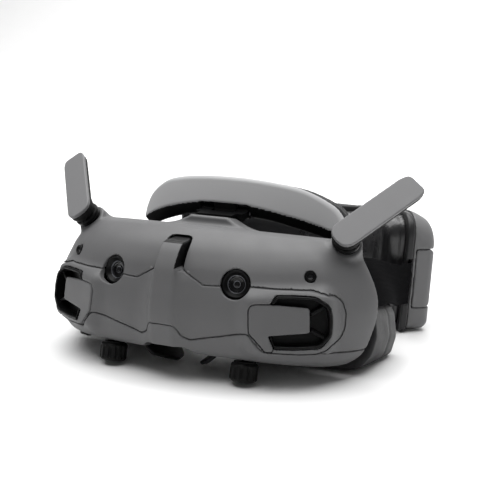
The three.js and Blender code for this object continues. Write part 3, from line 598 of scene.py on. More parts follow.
# Where the covers part, seen from the front.
COVER_HALF = [(0, 27.4), (6, 27.2), (9, 22), (12.5, 20.3), (39.9, 26.4), (46.4, 18.2), (60, 16.8),
    (66, 16.8), (70, 18.8), (73, 22.5), (74.5, 27), (74.5, 33), (72.8, 38), (69, 42), (62, 44),
    (37, 45.4), (16.8, 44.6), (5.0, 51.2), (RIDGE_HALF, TAB_TOP), (0, TAB_TOP)]
COVER_RADII = [0, 2, 3, 3, 3, 3, 4, 6, 6, 6, 8, 8, 8, 6, 6, 6, 3, 0.6, 2.2, 0]
COVER = mirrored(COVER_HALF, COVER_RADII)
GROOVE_HALF = [(0, 30), (5, 30), (5, 44), (6.3, 49.6), (6.1, 62.85), (0, 62.85)]
GROOVE = mirrored(GROOVE_HALF, [0, 0, 0, 1.2, 3, 0])
SIDE_SEAM = [(0, 33), (40, 33), (70, 16), (100, 10.4)]


def cover_region(x, y, z):
    return np.maximum(outline_distance(COVER, x, z), y - 24)


def seam_half(x):
    """Half the gap between the covers: a hairline on the ridge and outside the vents."""
    ax = np.abs(x)
    return SEAM / 2 * (0.2 + 0.8 * step(ax, 6.6, 8.6) * (1 - step(ax, 66, 70)))


def shut(wall):
    """How much of a seam's gap is left at this depth: the parts meet in the middle of the wall."""
    return 1 - 1.1 * step(-wall, 0.4, 0.9)


def lower_edge(x, z):
    return line_distance(SIDE_SEAM, np.abs(x), z)


def axis_of(yaw):
    """The way a round part faces: forward, leaning back, turned outwards."""
    return np.array((math.sin(yaw) * COS, -math.cos(yaw) * COS, SIN))


CAMERA_AT, CAMERA_AXIS = np.array((30.6, 0.6, 45.4)), axis_of(TILT)
SENSOR_AT, SENSOR_AXIS = np.array((60, 13.2, 49.1)), axis_of(0.42)


def round_hole(at, axis, radius):
    """A short bore on both sides of x = 0."""
    def field(x, y, z):
        dx, dy, dz = np.abs(x) - at[0], y - at[1], z - at[2]
        along = dx * axis[0] + dy * axis[1] + dz * axis[2]
        off = np.sqrt(np.maximum(dx * dx + dy * dy + dz * dz - along * along, 1e-9))
        return np.maximum(off - radius, np.abs(along) - 13)
    return field


camera_hole = round_hole(CAMERA_AT, CAMERA_AXIS, 6.75)
sensor_hole = round_hole(SENSOR_AT, SENSOR_AXIS, 2.6)


def knob_slot(x, y, z):
    s, t = leaning(y, z)
    slot = box_distance((np.abs(x) - 31.5, s + 0.7), (5.7, 2.1), 2.0)
    return np.maximum(slot, np.abs(t - 10) - 8)


# Each button on the underside: its name, place and radius.
BUTTONS = (("five_way_button", -59, 15, 4.2), ("back_button", -48, 19, 3.0))
BUTTON_GAP = 0.35


def button_holes(x, y, z):
    s, t = leaning(y, z)
    return np.minimum.reduce([np.maximum(np.sqrt((x - bx)**2 + (s - by)**2) - r - BUTTON_GAP,
                                         np.abs(t - BOTTOM) - 5) for _, bx, by, r in BUTTONS])


def upper_shell(x, y, z):
    d = smooth_min(shell_parts(x, y, z), hinge_bump(x, y, z), 3.0)
    half = SEAM / 2 * shut(d)
    groove = np.maximum(outline_distance(GROOVE, x, z), y - 12)
    d = round_and(d, half - np.minimum(cover_region(x, y, z), groove), SOFT_EDGE)
    d = round_and(d, half - lower_edge(x, z), SOFT_EDGE)
    return round_and(d, -np.minimum(camera_hole(x, y, z), sensor_hole(x, y, z)), SOFT_EDGE)


def front_cover(x, y, z):
    wall = shell_parts(x, y, z)
    d = round_and(wall, cover_region(x, y, z) + seam_half(x) * shut(wall), SOFT_EDGE)
    d = round_and(d, -(vent_gap(x, y, z) - SEAM * 0.6), SOFT_EDGE)
    return round_and(d, -camera_hole(x, y, z), SOFT_EDGE)


def lower_shell(x, y, z):
    wall = shell_parts(x, y, z)
    d = round_and(wall, seam_half(x) * shut(wall) - cover_region(x, y, z), SOFT_EDGE)
    d = round_and(d, lower_edge(x, z) + SEAM / 2 * shut(wall), SOFT_EDGE)
    d = round_and(d, -knob_slot(x, y, z), 0.3)
    return round_and(d, -button_holes(x, y, z), 0.3)


DETAIL = 0.62


def stand_in(obj, materials, body, slot, *nodes):
    """Gives a piece its materials, and says what it rides on and what it stands for; the finish
    (slot) is not used.
    """
    for m in materials:
        obj.data.materials.append(m)
    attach(obj, body)
    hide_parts(*nodes)
    return obj


def carve(name, field, box, materials, *says, size=DETAIL, both=False, flip=False):
    """A sculpted piece that stands in for a node."""
    return stand_in(sculpted(name, field, *box, size, both, flip), materials, *says)


def turn(name, profile, place, segments, materials, *says, lobes=None):
    """A turned piece that stands in for a node."""
    return stand_in(turned(name, profile, place, segments, lobes), materials, *says)


carve("upper_shell_skin", upper_shell, ((-86, -16, 8), (86, 48, 84)), [GRAY],
      "visor", "gray_shell", "upper_shell", both=True)
cover = carve("front_cover_skin", front_cover, ((-80, -17, 8), (80, 26, 66)), [GRAY, BLACK],
              "visor", "gray_shell", "front_cover", both=True)
carve("lower_shell_skin", lower_shell, ((-86, -18, 0), (86, 44, 38)), [GRAY],
      "visor", "gray_shell", "lower_shell")

# The tab's side walls and its top are painted black: partly the tab's own black plastic, partly
# painted shade of the narrow groove round the tab.
for face in cover.data.polygons:
    c, normal = face.center * 1000, face.normal
    on_side = c.z > 51.5 and abs(c.x) > 4.6 and abs(normal.x) > 0.6
    if on_side or c.z > TAB_TOP - 1.1 and normal.z > 0.7:
        face.material_index = 1


# ---- vents
COS30, SIN30 = 0.866, 0.5
vent_cover_field = in_vent(lambda u, w, v: round_and(outline_distance(TONGUE, u, v),
                                                     np.abs(w - 0.4) - 1.1, 0.5))


def vent_trim_shape(u, w, v):
    """The black surround: a lip, a floor, two slanting struts and a foot for the cover."""
    rim, tongue = outline_distance(RIM, u, v), outline_distance(TONGUE, u, v)
    lip = round_and(round_and(rim, -(rim + 1.2), 0.4), np.abs(w - 1.9) - 3.2, 0.5)
    floor = round_and(rim, np.abs(w - 4.9) - 0.6, 0.2)
    struts = np.minimum(*[
        box_distance((COS30 * (u - 12.6) + q * SIN30 * (v - at), w - 2.8,
                      COS30 * (v - at) - q * SIN30 * (u - 12.6)), (4.4, 1.9, 0.8), 0.4)
        for q, at in ((1, 4.6), (-1, -4.6))])
    d = np.minimum(np.minimum(lip, floor), round_and(struts, rim, 0.2))
    d = round_and(d, -round_and(tongue - 0.4, w - 2.4, 0.2), 0.2)
    return np.minimum(d, round_and(tongue + 1.3, np.abs(w - 3.3) - 1.5, 0.3))


vent_trim_field = in_vent(vent_trim_shape)
VENT_BOX = ((34, -18, 14), (78, 22, 48))
for name, side in SIDES:
    carve(f"{name}_vent_blade", vent_cover_field, VENT_BOX, [GRAY],
          "visor", "gray_shell", f"{name}_vent_cover", flip=side < 0)
    carve(f"{name}_vent_surround", vent_trim_field, VENT_BOX, [BLACK],
          "visor", "black_plastic", f"{name}_vent_trim", flip=side < 0)


# ---- the visor's round parts
def facing(at, axis, side):
    """The place of a turned piece at a point, with its z axis along an axis, on one side."""
    z = Vector((side * axis[0], axis[1], axis[2])).normalized()
    x = Vector((0, 0, 1)).cross(z).normalized()
    place = Matrix((x, z.cross(x), z)).transposed().to_4x4()
    place.translation = Vector((side * at[0], at[1], at[2]))
    return place


LEAN = Matrix(((1, 0, 0), (0, COS, SIN), (0, -SIN, COS))).to_4x4()


def upright(x, s):
    """A place whose z axis is the visor's own up."""
    return LEAN @ Matrix.Translation((x, s, 0))


def rearward(x, t):
    """A place whose z axis points to the back along the visor's own axes."""
    return LEAN @ Matrix.Translation((x, 0, t)) @ Matrix.Rotation(-math.pi / 2, 4, "X")


def closed(points):
    return points + [points[0]]


def paint_rings(obj, place, rules):
    """rules: (material index, lowest radius, highest radius), by distance from the place's axis."""
    back = place.inverted()
    for face in obj.data.polygons:
        c = back @ (face.center * 1000 + Vector((0, CENTRE_Y, 0)))
        r = math.hypot(c.x, c.y)
        for index, low, high in rules:
            if low <= r < high:
                face.material_index = index


BEZEL = profile_round([(6.5, -5), (6.5, 1.0), (6.1, 1.6), (5.5, 1.6), (4.1, 0.0), (3.75, 0.0),
    (3.6, -5)], 0.25)
CAMERA_LENS = [(0, -0.75), (0.6, -0.78), (1.2, -0.9), (1.3, -1.25), (1.65, -1.2), (1.8, -1.45),
    (2.6, -1.25), (2.75, -0.75), (3.3, -0.6), (3.4, -1.0), (3.4, -5), (0, -5)]
SENSOR_CUP = profile_round([(2.3, -3), (2.3, 0.5), (1.7, 0.5), (1.35, 0.05), (1.35, -3)], 0.12)
SENSOR_GLASS = [(0, 0.15), (0.7, 0.08), (1.25, -0.12), (1.25, -3), (0, -3)]

KNOB_RADIUS, GRIP_LOW, GRIP_HIGH = 6.2, 2.6, 8.9
GRIPS, GRIP_DEPTH, GRIP_STEPS = 12, 0.75, 6


def grips(a, r, h):
    """The hollows round a knob's side, which run out at its two ends."""
    if r < 5.4 or not GRIP_LOW < h < GRIP_HIGH:
        return r
    turn = (a * GRIPS / (2 * math.pi)) % 1
    depth = GRIP_DEPTH * max(0, math.cos((turn - 0.5) * 2 * math.pi)) ** 0.8
    return r - depth * min(1, (h - GRIP_LOW) / 0.8, (GRIP_HIGH - h) / 0.8)


def with_steps(profile):
    """The knob's profile with more points on its long straight side, for the grips to bend."""
    out = []
    for a, b in zip(profile, profile[1:]):
        out.append(a)
        if abs(b[1] - a[1]) >= 2 and a[0] >= 5:
            out += [(KNOB_RADIUS, a[1] + (b[1] - a[1]) * k / GRIP_STEPS)
                    for k in range(1, GRIP_STEPS)]
    return out + [profile[-1]]


KNOB = with_steps(profile_round([(0, 1.75), (3.6, 1.75), (3.9, 1.55), (4.9, 1.55), (5.6, 1.9),
    (KNOB_RADIUS, 2.7), (KNOB_RADIUS, 8.9), (5.5, 9.75), (4.9, 9.75), (4.9, 10.55), (1.5, 10.55),
    (1.5, 15.3), (0, 15.3)], 0.3))
BARREL = closed(profile_round([(13, 17), (16, 17), (16, 36), (15.6, 41), (14.8, 43), (13.4, 43),
    (13, 41.5), (13, 36.2), (12.4, 35.4), (11.2, 34.6), (11.2, 18), (13, 17)], 0.5)[:-1])
DOME = [(0, 40.6), (4, 40.3), (8, 39.3), (11, 37.9), (12.7, 36.8), (12.7, 36.4), (0, 36.4)]
EYE_X, EYE_UP, KNOB_BACK = 34, 38, -0.7
RING_GRAY = material("lens_ring", (0.16, 0.165, 0.18), 0.25, metal=0.6, rough_var=0.05)
for name, side in SIDES:
    place = facing(CAMERA_AT, CAMERA_AXIS, side)
    bezel = turn(f"{name}_camera_ring", closed(BEZEL), place, 96, [BLACK, RING_GRAY],
                 "visor", "black_plastic", f"{name}_camera_bezel")
    paint_rings(bezel, place, [(1, 3.62, 4.05)])
    lens = turn(f"{name}_camera_glass", CAMERA_LENS, place, 72, [GLOSS, GLASS, RING_GRAY],
                "visor", "dark_glass", f"{name}_camera_lens")
    paint_rings(lens, place, [(1, 0, 1.22), (2, 1.3, 1.62), (1, 2.6, 3.3)])
    place = facing(SENSOR_AT, SENSOR_AXIS, side)
    turn(f"{name}_sensor_cup", closed(SENSOR_CUP), place, 48, [BLACK],
         "visor", "black_plastic", f"{name}_sensor")
    turn(f"{name}_sensor_glass", SENSOR_GLASS, place, 32, [GLASS], "visor", "dark_glass")
    turn(f"{name}_knob_grip", KNOB, upright(side * EYE_X, KNOB_BACK), 144, [RUBBER],
         f"{name}_knob", "black_rubber", f"{name}_knob", lobes=grips)
    place = rearward(side * EYE_X, EYE_UP)
    turn(f"{name}_eyepiece_barrel", BARREL, place, 96, [MATTE_BLACK],
         f"{name}_eyepiece", "black_plastic", f"{name}_eyepiece")
    turn(f"{name}_eyepiece_dome", DOME, place, 72, [GLASS],
         f"{name}_eyepiece", "dark_glass", f"{name}_eyepiece_lens")

CAP_EDGE, CAP_ROOT = 10.2, 12.8
for name, bx, by, radius in BUTTONS:
    outer = [(radius, CAP_EDGE), (radius, CAP_ROOT), (0, CAP_ROOT)]
    if name == "five_way_button":
        cap = profile_round([(0, 9.1), (1.1, 9.2), (1.5, 9.8), (radius - 1.4, 9.8),
                             (radius - 0.7, 9.75)] + outer, 0.25)
    else:
        cap = profile_round([(0, 9.55), (radius - 1.6, 9.5), (radius - 0.9, 9.8)] + outer, 0.35)
    turn(f"{name}_cap", cap, upright(bx, by), 56, [BLACK], name, "black_plastic", name)


# ---- soft pieces
def swollen(vertices, quads, cap):
    """How far each vertex of a skin moves under a little pressure, at most cap millimetres."""
    mesh = bpy.data.meshes.new("swell")
    mesh.from_pydata(to_frame(vertices).tolist(), [], quads.tolist())
    skin_object = bpy.data.objects.new("swell", mesh)
    scene = bpy.context.scene
    scene.collection.objects.link(skin_object)
    cloth = skin_object.modifiers.new("cloth", "CLOTH")
    cloth.settings.use_pressure = True
    cloth.settings.uniform_pressure_force = 4
    cloth.settings.effector_weights.gravity = 0
    for number in range(1, 21):
        scene.frame_set(number)
    result = skin_object.evaluated_get(bpy.context.evaluated_depsgraph_get()).to_mesh()
    moved = np.empty(len(mesh.vertices) * 3)
    result.vertices.foreach_get("co", moved)
    move = moved.reshape(-1, 3) * 1000 + (0, CENTRE_Y, 0) - vertices
    bpy.data.objects.remove(skin_object)
    bpy.data.meshes.remove(mesh)
    scene.frame_set(1)
    reach = np.linalg.norm(move, axis=1, keepdims=True)
    return move * np.minimum(1, cap / np.maximum(reach, 1e-6)) * np.isfinite(reach)


def padded_piece(name, field, seams, low, high, cap, both=True, size=1.3):
    """A cushion: swollen as cloth on a coarse skin, with that swelling laid on a fine skin that
    has the seams."""
    def fine(x, y, z):
        return field(x, y, z) + seams(x, y, z)

    v, q, _ = sculpt(fine, low, high, size, both)
    coarse, faces, _ = sculpt(field, low, high, 4.5, both)
    move = swollen(coarse, faces, cap)
    tree = KDTree(len(coarse))
    for i, p in enumerate(coarse):
        tree.insert(p, i)
    tree.balance()
    shift = np.zeros_like(v)
    for i, p in enumerate(v):
        near = tree.find_n(p, 6)
        weights = np.array([1 / (d * d + 4) for _, _, d in near])
        shift[i] = weights @ move[[k for _, k, _ in near]] / weights.sum()
    v = v + shift
    return mesh_object(name, v, q)


# The face cushion's outline, and the room inside it, seen along the visor's own axes.
FOAM_HALF = [(0, 36), (9, 33), (15, 22), (18, 6), (64, 6.5), (75, 10.5), (80.5, 17), (82.5, 26),
    (80.5, 37), (74.5, 45.5), (65, 52), (58, 58.5), (48, 64), (34, 67), (0, 67)]
FOAM_OUTLINE = filleted(mirrored_outline(FOAM_HALF), [0, 3, 3, 3, 8, 8, 8, 8, 8, 8, 6, 6, 6, 6, 0]
                        + [0, 6, 6, 6, 6, 8, 8, 8, 8, 8, 8, 3, 3])
BORE_HALF = [(0, 38), (10.9, 35), (17, 21.8), (25.6, 16.4), (64, 16.4), (68, 19), (69, 26),
    (67, 36), (61.5, 45), (52, 52), (46.3, 57.2), (0, 57.2)]
BORE_RADII = [0, 2, 2, 2, 6, 6, 8, 8, 8, 6, 4, 0]
FOAM_BORE = mirrored(BORE_HALF, BORE_RADII)


def face_foam(x, y, z):
    s, t = leaning(y, z)
    rim = outline_distance(FOAM_OUTLINE, x, t)
    bore = outline_distance(FOAM_BORE, x, t)
    d = round_and(rim + 0.6, -bore, 0.8 + 4.2 * step(np.abs(x), 20, 34))
    d = round_and(d, 31.7 - s, 1.2)
    d = round_and(d, s - 67.5, 6.3)
    d = round_and(d, 78.6 - np.sqrt(x * x + ((s - 128) / 1.05) ** 2), 5)
    return round_and(d, 0.7 - z, 2.0)


def foam_seam(x, y, z):
    s, t = leaning(y, z)
    near_rim = outline_distance(FOAM_OUTLINE, x, t) > -5
    return 0.3 * np.exp(-((s - 39 - 0.002 * x * x) / 0.9) ** 2) * near_rim


foam = padded_piece("face_cushion_foam", face_foam, foam_seam, (-88, 26, -4), (88, 86, 68), 1.2)
stand_in(foam, [FOAM], "visor", "soft_gray", "face_cushion")


# Nose flaps: one soft lobe on each side, sloping in from the tunnel's wall.
FLAP_TOP, FLAP_TIP = np.array((16.4, 9.6)), np.array((6.4, 1.4))
FLAP_LOBE = filleted([(3, -2), (28, -2), (25, 5), (18.5, 12.6), (12.5, 13.2), (7.5, 9), (3, 4)],
    [2, 2, 4, 4, 4, 4, 3])


def nose_flap(x, y, z):
    run = (FLAP_TIP - FLAP_TOP) / np.linalg.norm(FLAP_TIP - FLAP_TOP)
    dx, dz = x - FLAP_TOP[0], z - FLAP_TOP[1]
    along, out = dx * run[0] + dz * run[1], dz * run[0] - dx * run[1]
    curl = 0.012 * (y - 15) ** 2
    return round_and(outline_distance(FLAP_LOBE, y, along), np.abs(out - curl + 0.8) - 0.9, 0.6)


for name, side in SIDES:
    carve(f"{name}_nose_lobe", nose_flap, ((2, 0, -1), (24, 32, 18)), [RUBBER],
          "visor", "black_rubber", f"{name}_nose_flap", flip=side < 0)


# Forehead pad: everything is laid along a curve that bows back towards the ends.
PAD_FRONT, PAD_BOW, PAD_REACH, PAD_POWER = 47, 20, 58, 2.3
HINGE_Y, HINGE_Z, HINGE_ROOM = 51.5, 66.5, 13
# By distance from the middle: its top, the lower edge of its gray face, and its bottom.
pad_top = curve([(0, 83.3), (10, 83), (20, 82), (28, 80.6), (36, 78.4), (43, 74.8), (48.5, 70.8),
    (52, 67.4), (54.6, 63.6), (56, 60)])
pad_edge = curve([(0, 71.4), (10, 71.2), (18, 70), (26, 68.2), (34, 66), (42, 63.2), (50, 59.4),
    (56, 56)])
pad_bottom = curve([(0, 64), (14, 63.6), (25, 62), (38, 57.8), (47, 54.2), (56, 51)])


def pad_axes(x, y, z):
    """(distance behind the pad's front curve, how far the outline is passed)."""
    ax = np.abs(x)
    bow = PAD_BOW * (ax / PAD_REACH) ** PAD_POWER
    lean_in = PAD_BOW * PAD_POWER / PAD_REACH * (ax / PAD_REACH) ** (PAD_POWER - 1)
    w = (y - PAD_FRONT - bow) / np.sqrt(1 + lean_in**2)
    slope = np.sqrt(1 + 0.25)
    height = round_and((z - pad_top(ax)) / slope, (pad_bottom(ax) - z) / slope, 2.5)
    return w, round_and(height, (ax - 55) / 1.2, 5)


def hinge_distance(y, z):
    return np.hypot(y - HINGE_Y, z - HINGE_Z)


def pad_shell_field(x, y, z):
    w, trim = pad_axes(x, y, z)
    rise = z - pad_edge(np.abs(x))
    front = round_and((0.3 * rise - w) / 1.044, (-0.62 * rise - w) / 1.177, 0.8)
    d = round_and(round_and(front, trim, 1.6), w - 6, 0.5)
    d = round_and(d, -np.maximum(np.abs(x) - HINGE_ROOM, z - 70.9), 0.4)
    knuckle = round_and(hinge_distance(y, z) - 2.8, np.abs(x) - 5.8, 0.3)
    tongue = box_distance((x, y - 50.8, z - 70.5), (5.8, 1.8, 4.4), 0.4)
    d = np.minimum(d, np.minimum(knuckle, tongue))
    return np.maximum(d, np.minimum(1.45 - hinge_distance(y, z), 8 - np.abs(x)))


def pad_cushion_field(x, y, z):
    w, trim = pad_axes(x, y, z)
    crown = 1.2 * np.clip(-trim / 9, 0, 1)
    d = round_and(trim + 1.4, np.abs(w - 11.6) - 4.4 - crown, 4)
    room = np.hypot(np.maximum(np.abs(x) - HINGE_ROOM, 0), hinge_distance(y, z))
    return round_and(d, 4.2 - room, 0.6)


def pad_seam(x, y, z):
    w, trim = pad_axes(x, y, z)
    return 0.6 * np.exp(-((w - 12.4) / 0.8) ** 2) * (trim > -4.5)


pad = carve("pad_shell_skin", pad_shell_field, ((-66, 44, 48), (66, 84, 86)), [PAD_GRAY,
    MATTE_BLACK], "forehead_pad", "pad_gray", "pad_shell", both=True)
# Below the gray face's lower edge the pad shell is painted black: partly the pad's black inner
# frame, partly painted shade on the facet that faces down under the edge.
for face in pad.data.polygons:
    c = face.center * 1000
    if c.z < float(pad_edge(abs(c.x))) - 0.25:
        face.material_index = 1
cushion = padded_piece("pad_cushion_foam", pad_cushion_field, pad_seam, (-66, 48, 48),
                       (66, 98, 86), 1.0)
stand_in(cushion, [FOAM], "forehead_pad", "soft_gray", "pad_cushion")


# ---- antennas
BLADE = filleted([(-6.4, -6.5), (37, -6.5), (41.4, -5.6), (41.4, 5.4), (36, 6.5), (-6.4, 6.5)],
    [6.2, 2, 3, 4, 2, 6.2])


def blade_face(x, y, z):
    a, b, c = blade_axes(x, y, z)
    return round_and(outline_distance(BLADE, a, b), np.abs(c - 1.1) - 0.95, 0.45)


def blade_back(x, y, z):
    a, b, c = blade_axes(x, y, z)
    plate = round_and(outline_distance(BLADE, a, b) + 0.35, np.abs(c + 0.95) - 0.95, 0.4)
    hub = round_and(np.hypot(a, b) - 6.2, np.abs(c + 1.8) - 1.8, 0.7)
    spine = box_distance((a - 12, b, c + 1.6), (13, 3.4, 1.7), 1.4)
    return smooth_min(smooth_min(plate, hub, 1.5), spine, 2.0)


def blade_neck(x, y, z):
    a, b, c = blade_axes(x, y, z)
    r = np.hypot(a, b)
    collar = round_and(r - 6.5, np.abs(c + 5.4) - 1.1, 0.5)
    waist = round_and(r - 5.7, np.abs(c + 10) - 6.2, 0.3)
    return np.minimum(collar, waist)


BLADE_BOX = ((46, 10, 44), (102, 66, 92))
for name, side in SIDES:
    for part, field, body, slot, node, finish in (
            ("face", blade_face, f"{name}_antenna", "light_gray", "blade", LIGHT),
            ("body", blade_back, f"{name}_antenna", "gray_shell", "back", MATTE_BLACK),
            ("collar", blade_neck, "visor", "gray_shell", "neck", BLACK)):
        carve(f"{name}_antenna_{part}", field, BLADE_BOX, [finish],
              body, slot, f"{name}_antenna_{node}", flip=side < 0)


# ---- battery pack
PACK_AT, PACK_TURN = (-6, 55.84), 9
LINER_IN, LINER_OUT, PACK_OUT = 94, 98, 109.5
DRAFT, DRAFT_HEIGHT = 3.5, 55
HOLLOW_SPREAD, HOLLOW_LOW, HOLLOW_HIGH = 41, 5, 56


def pack_axes(x, y, z):
    """(radius at the pack's top, angle from its own middle in degrees). The pack closes in
    towards its foot."""
    dx, dy = x - PACK_AT[0], y - PACK_AT[1]
    return (np.hypot(dx, dy) + DRAFT * (1 - z / DRAFT_HEIGHT),
            90 - PACK_TURN - np.degrees(np.arctan2(dy, dx)) + 0 * z)


def arc(degrees, radius):
    return degrees * math.pi / 180 * radius


def pack_top(radius, angle):
    """How far the top edge is under its highest line: most in the middle and on the outside."""
    return 6.0 * (1 - step(np.abs(angle), 4, 44)) + 7.0 * np.clip((radius - 95) / 14, 0, 1) ** 1.5


def pack_rim(radius, angle, z, spread, foot, foot_round, top, top_round):
    """The pack's outline, seen from its middle: its two ends, its foot and its curved top."""
    sides = round_and(arc(np.abs(angle) - spread, radius), foot - z, foot_round)
    return round_and(sides, z + pack_top(radius, angle) - top, top_round)


def sector(x, y, z, inner, outer, spread, low, high, r, middle=0.0):
    """A block bent round the pack's centre, between two radii and two heights."""
    radius, angle = pack_axes(x, y, z)
    along = arc(np.abs(angle - middle) - spread, radius)
    across = np.maximum(inner - radius, radius - outer)
    d = round_and(along, np.maximum(low - z, z - high), r)
    return round_and(d, across, min(r, 2.5))


def pack_cushion_field(x, y, z):
    radius, angle = pack_axes(x, y, z)
    rim = pack_rim(radius, angle, z, 48.2, 3, 7, 59.5, 10)
    crown = 3.0 * np.clip(-rim / 12, 0, 1) ** 0.5
    return round_and(round_and(rim, 82.6 - crown - radius, 4), radius - 93.6, 1.2)


def pack_seams(x, y, z):
    radius, angle = pack_axes(x, y, z)
    channels = np.minimum.reduce([arc(np.abs(angle - at), radius) for at in (-24, 0, 24)])
    piping = 0.6 * np.exp(-((radius - 90.5) / 0.8) ** 2)
    return 0.9 * np.exp(-channels ** 2) * (radius < 86) + piping


SLOT_RADIUS = LINER_IN + 2
STRAP_THICK, STRAP_WIDE = 1.6, 21
STRAP_FRONT, STRAP_BACK, STRAP_FLARE = 40.5, 27, 13


def strap_slots(x, y, z):
    radius, angle = pack_axes(x, y, z)
    along = arc(50 - np.abs(angle), radius)
    slot = box_distance((radius - SLOT_RADIUS, along, z - STRAP_BACK), (1.3, 5.2, 11.6), 0.5)
    return np.maximum(slot, -2 - along)


def pack_hollow(x, y, z, inner, outer):
    """The room for the cells, which follows the top edge."""
    high = HOLLOW_HIGH - pack_top(*pack_axes(x, y, z))
    return sector(x, y, z, inner, outer, HOLLOW_SPREAD, HOLLOW_LOW, high, 1)


def pack_liner_field(x, y, z):
    radius, angle = pack_axes(x, y, z)
    rim = pack_rim(radius, angle, z, 50, 0.1, 5, 61, 11)
    d = round_and(rim, np.maximum(LINER_IN - radius, radius - LINER_OUT), 1.2)
    hollow = pack_hollow(x, y, z, LINER_OUT - 1.4, LINER_OUT + 5)
    return round_and(round_and(d, -hollow, 0.3), -strap_slots(x, y, z), 0.3)


PANEL_AT, PANEL_SPREAD, PANEL_DEPTH, PANEL_LOW, PANEL_HIGH = 46.6, 2.4, 9.6, 13, 43
POWER_AT, POWER_UP, PORT_AT, PORT_UP = -20, 44, 28, 40


def panel_room(x, y, z, extra):
    inner, spread = PACK_OUT - PANEL_DEPTH - extra, PANEL_SPREAD + extra * 0.5
    return np.minimum(*[sector(x, y, z, inner, PACK_OUT + 6, spread, PANEL_LOW - extra,
                               PANEL_HIGH + extra, 0.8, m) for m in (-PANEL_AT, PANEL_AT)])


def pack_shell_field(x, y, z):
    radius, angle = pack_axes(x, y, z)
    rim = pack_rim(radius, angle, z, 49, 1, 5, 62, 12)
    d = round_and(round_and(rim, radius - PACK_OUT, 4.0), LINER_OUT + 0.3 - radius, 0.4)
    hollow = pack_hollow(x, y, z, LINER_OUT - 3, PACK_OUT - 2.3)
    d = round_and(round_and(d, -hollow, 0.3), -panel_room(x, y, z, 0.3), 0.3)
    button = np.hypot(arc(angle - POWER_AT, radius), z - POWER_UP) - 4.3
    port = box_distance((arc(angle - PORT_AT, radius), z - PORT_UP), (4.6, 1.7), 1.6)
    return round_and(d, -np.minimum(np.maximum(button, PACK_OUT - 4 - radius),
                                    np.maximum(port, PACK_OUT - 5 - radius)), SOFT_EDGE)


def pack_panel(middle):
    def panel(x, y, z):
        radius, angle = pack_axes(x, y, z)
        block = sector(x, y, z, PACK_OUT - PANEL_DEPTH, PACK_OUT + 3, PANEL_SPREAD, PANEL_LOW,
                       PANEL_HIGH, 0.6, middle)
        return round_and(block, radius - (PACK_OUT - 0.1), 3.2)
    return panel


PACK_BOX = ((-104, 84, -2), (100, 168, 67))
PACK_DETAIL = 0.85
for piece, field, slot, node, finish in (
        ("pack_liner_skin", pack_liner_field, "black_plastic", "pack_liner", LINER),
        ("pack_shell_skin", pack_shell_field, "gray_shell", "pack_shell", PACK_GRAY),
        ("pack_left_inlay", pack_panel(PANEL_AT), "light_gray", "pack_left_panel", LIGHT),
        ("pack_right_inlay", pack_panel(-PANEL_AT), "light_gray", "pack_right_panel", LIGHT)):
    carve(piece, field, PACK_BOX, [finish], "battery_pack", slot, node, size=PACK_DETAIL)
LEATHER = material("coated_leather", (0.014, 0.014, 0.015), 0.3, coat=0.15, grain=(0.9, 0.5),
                   mottled=0.05, rough_var=0.08)
back_pad = padded_piece("pack_cushion_foam", pack_cushion_field, pack_seams, (-98, 84, -1),
                        (94, 152, 66), 1.6, both=False, size=1.5)
stand_in(back_pad, [LEATHER], "battery_pack", "soft_gray", "pack_cushion")


def pack_place(degrees, radius, z):
    """(x, y) of a point on the pack, from its angle and its radius at the top."""
    radius -= DRAFT * (1 - z / DRAFT_HEIGHT)
    a = math.radians(90 - degrees - PACK_TURN)
    return np.array((PACK_AT[0] + radius * math.cos(a), PACK_AT[1] + radius * math.sin(a)))


def outward_at(at):
    return (at - PACK_AT) / np.linalg.norm(at - PACK_AT)


CAP = profile_round([(0, 0.45), (2.6, 0.5), (3.4, 0.7), (4, 0.3), (4, -1.8), (0, -1.8)], 0.3)
at = pack_place(POWER_AT, PACK_OUT, POWER_UP)
turn("power_button_cap", CAP, facing((*at, POWER_UP), (*outward_at(at), 0), 1), 64, [LIGHT],
     "power_button", "light_gray", "power_button")


# ---- webbing
WEAVE = material("woven_webbing", (0.006, 0.006, 0.0065), 0.9, specular=0.02, grain=(1.1, 0.9),
                 mottled=0.08)
STRAP_STEPS, STRAP_ROWS, RIBS, RIB_DEPTH, RIPPLE = 110, 36, 9, 0.09, 0.35


def bezier(points, t):
    a, b, c, d = [np.array(p, float) for p in points]
    return (1 - t) ** 3 * a + 3 * t * (1 - t) ** 2 * b + 3 * t * t * (1 - t) * c + t**3 * d


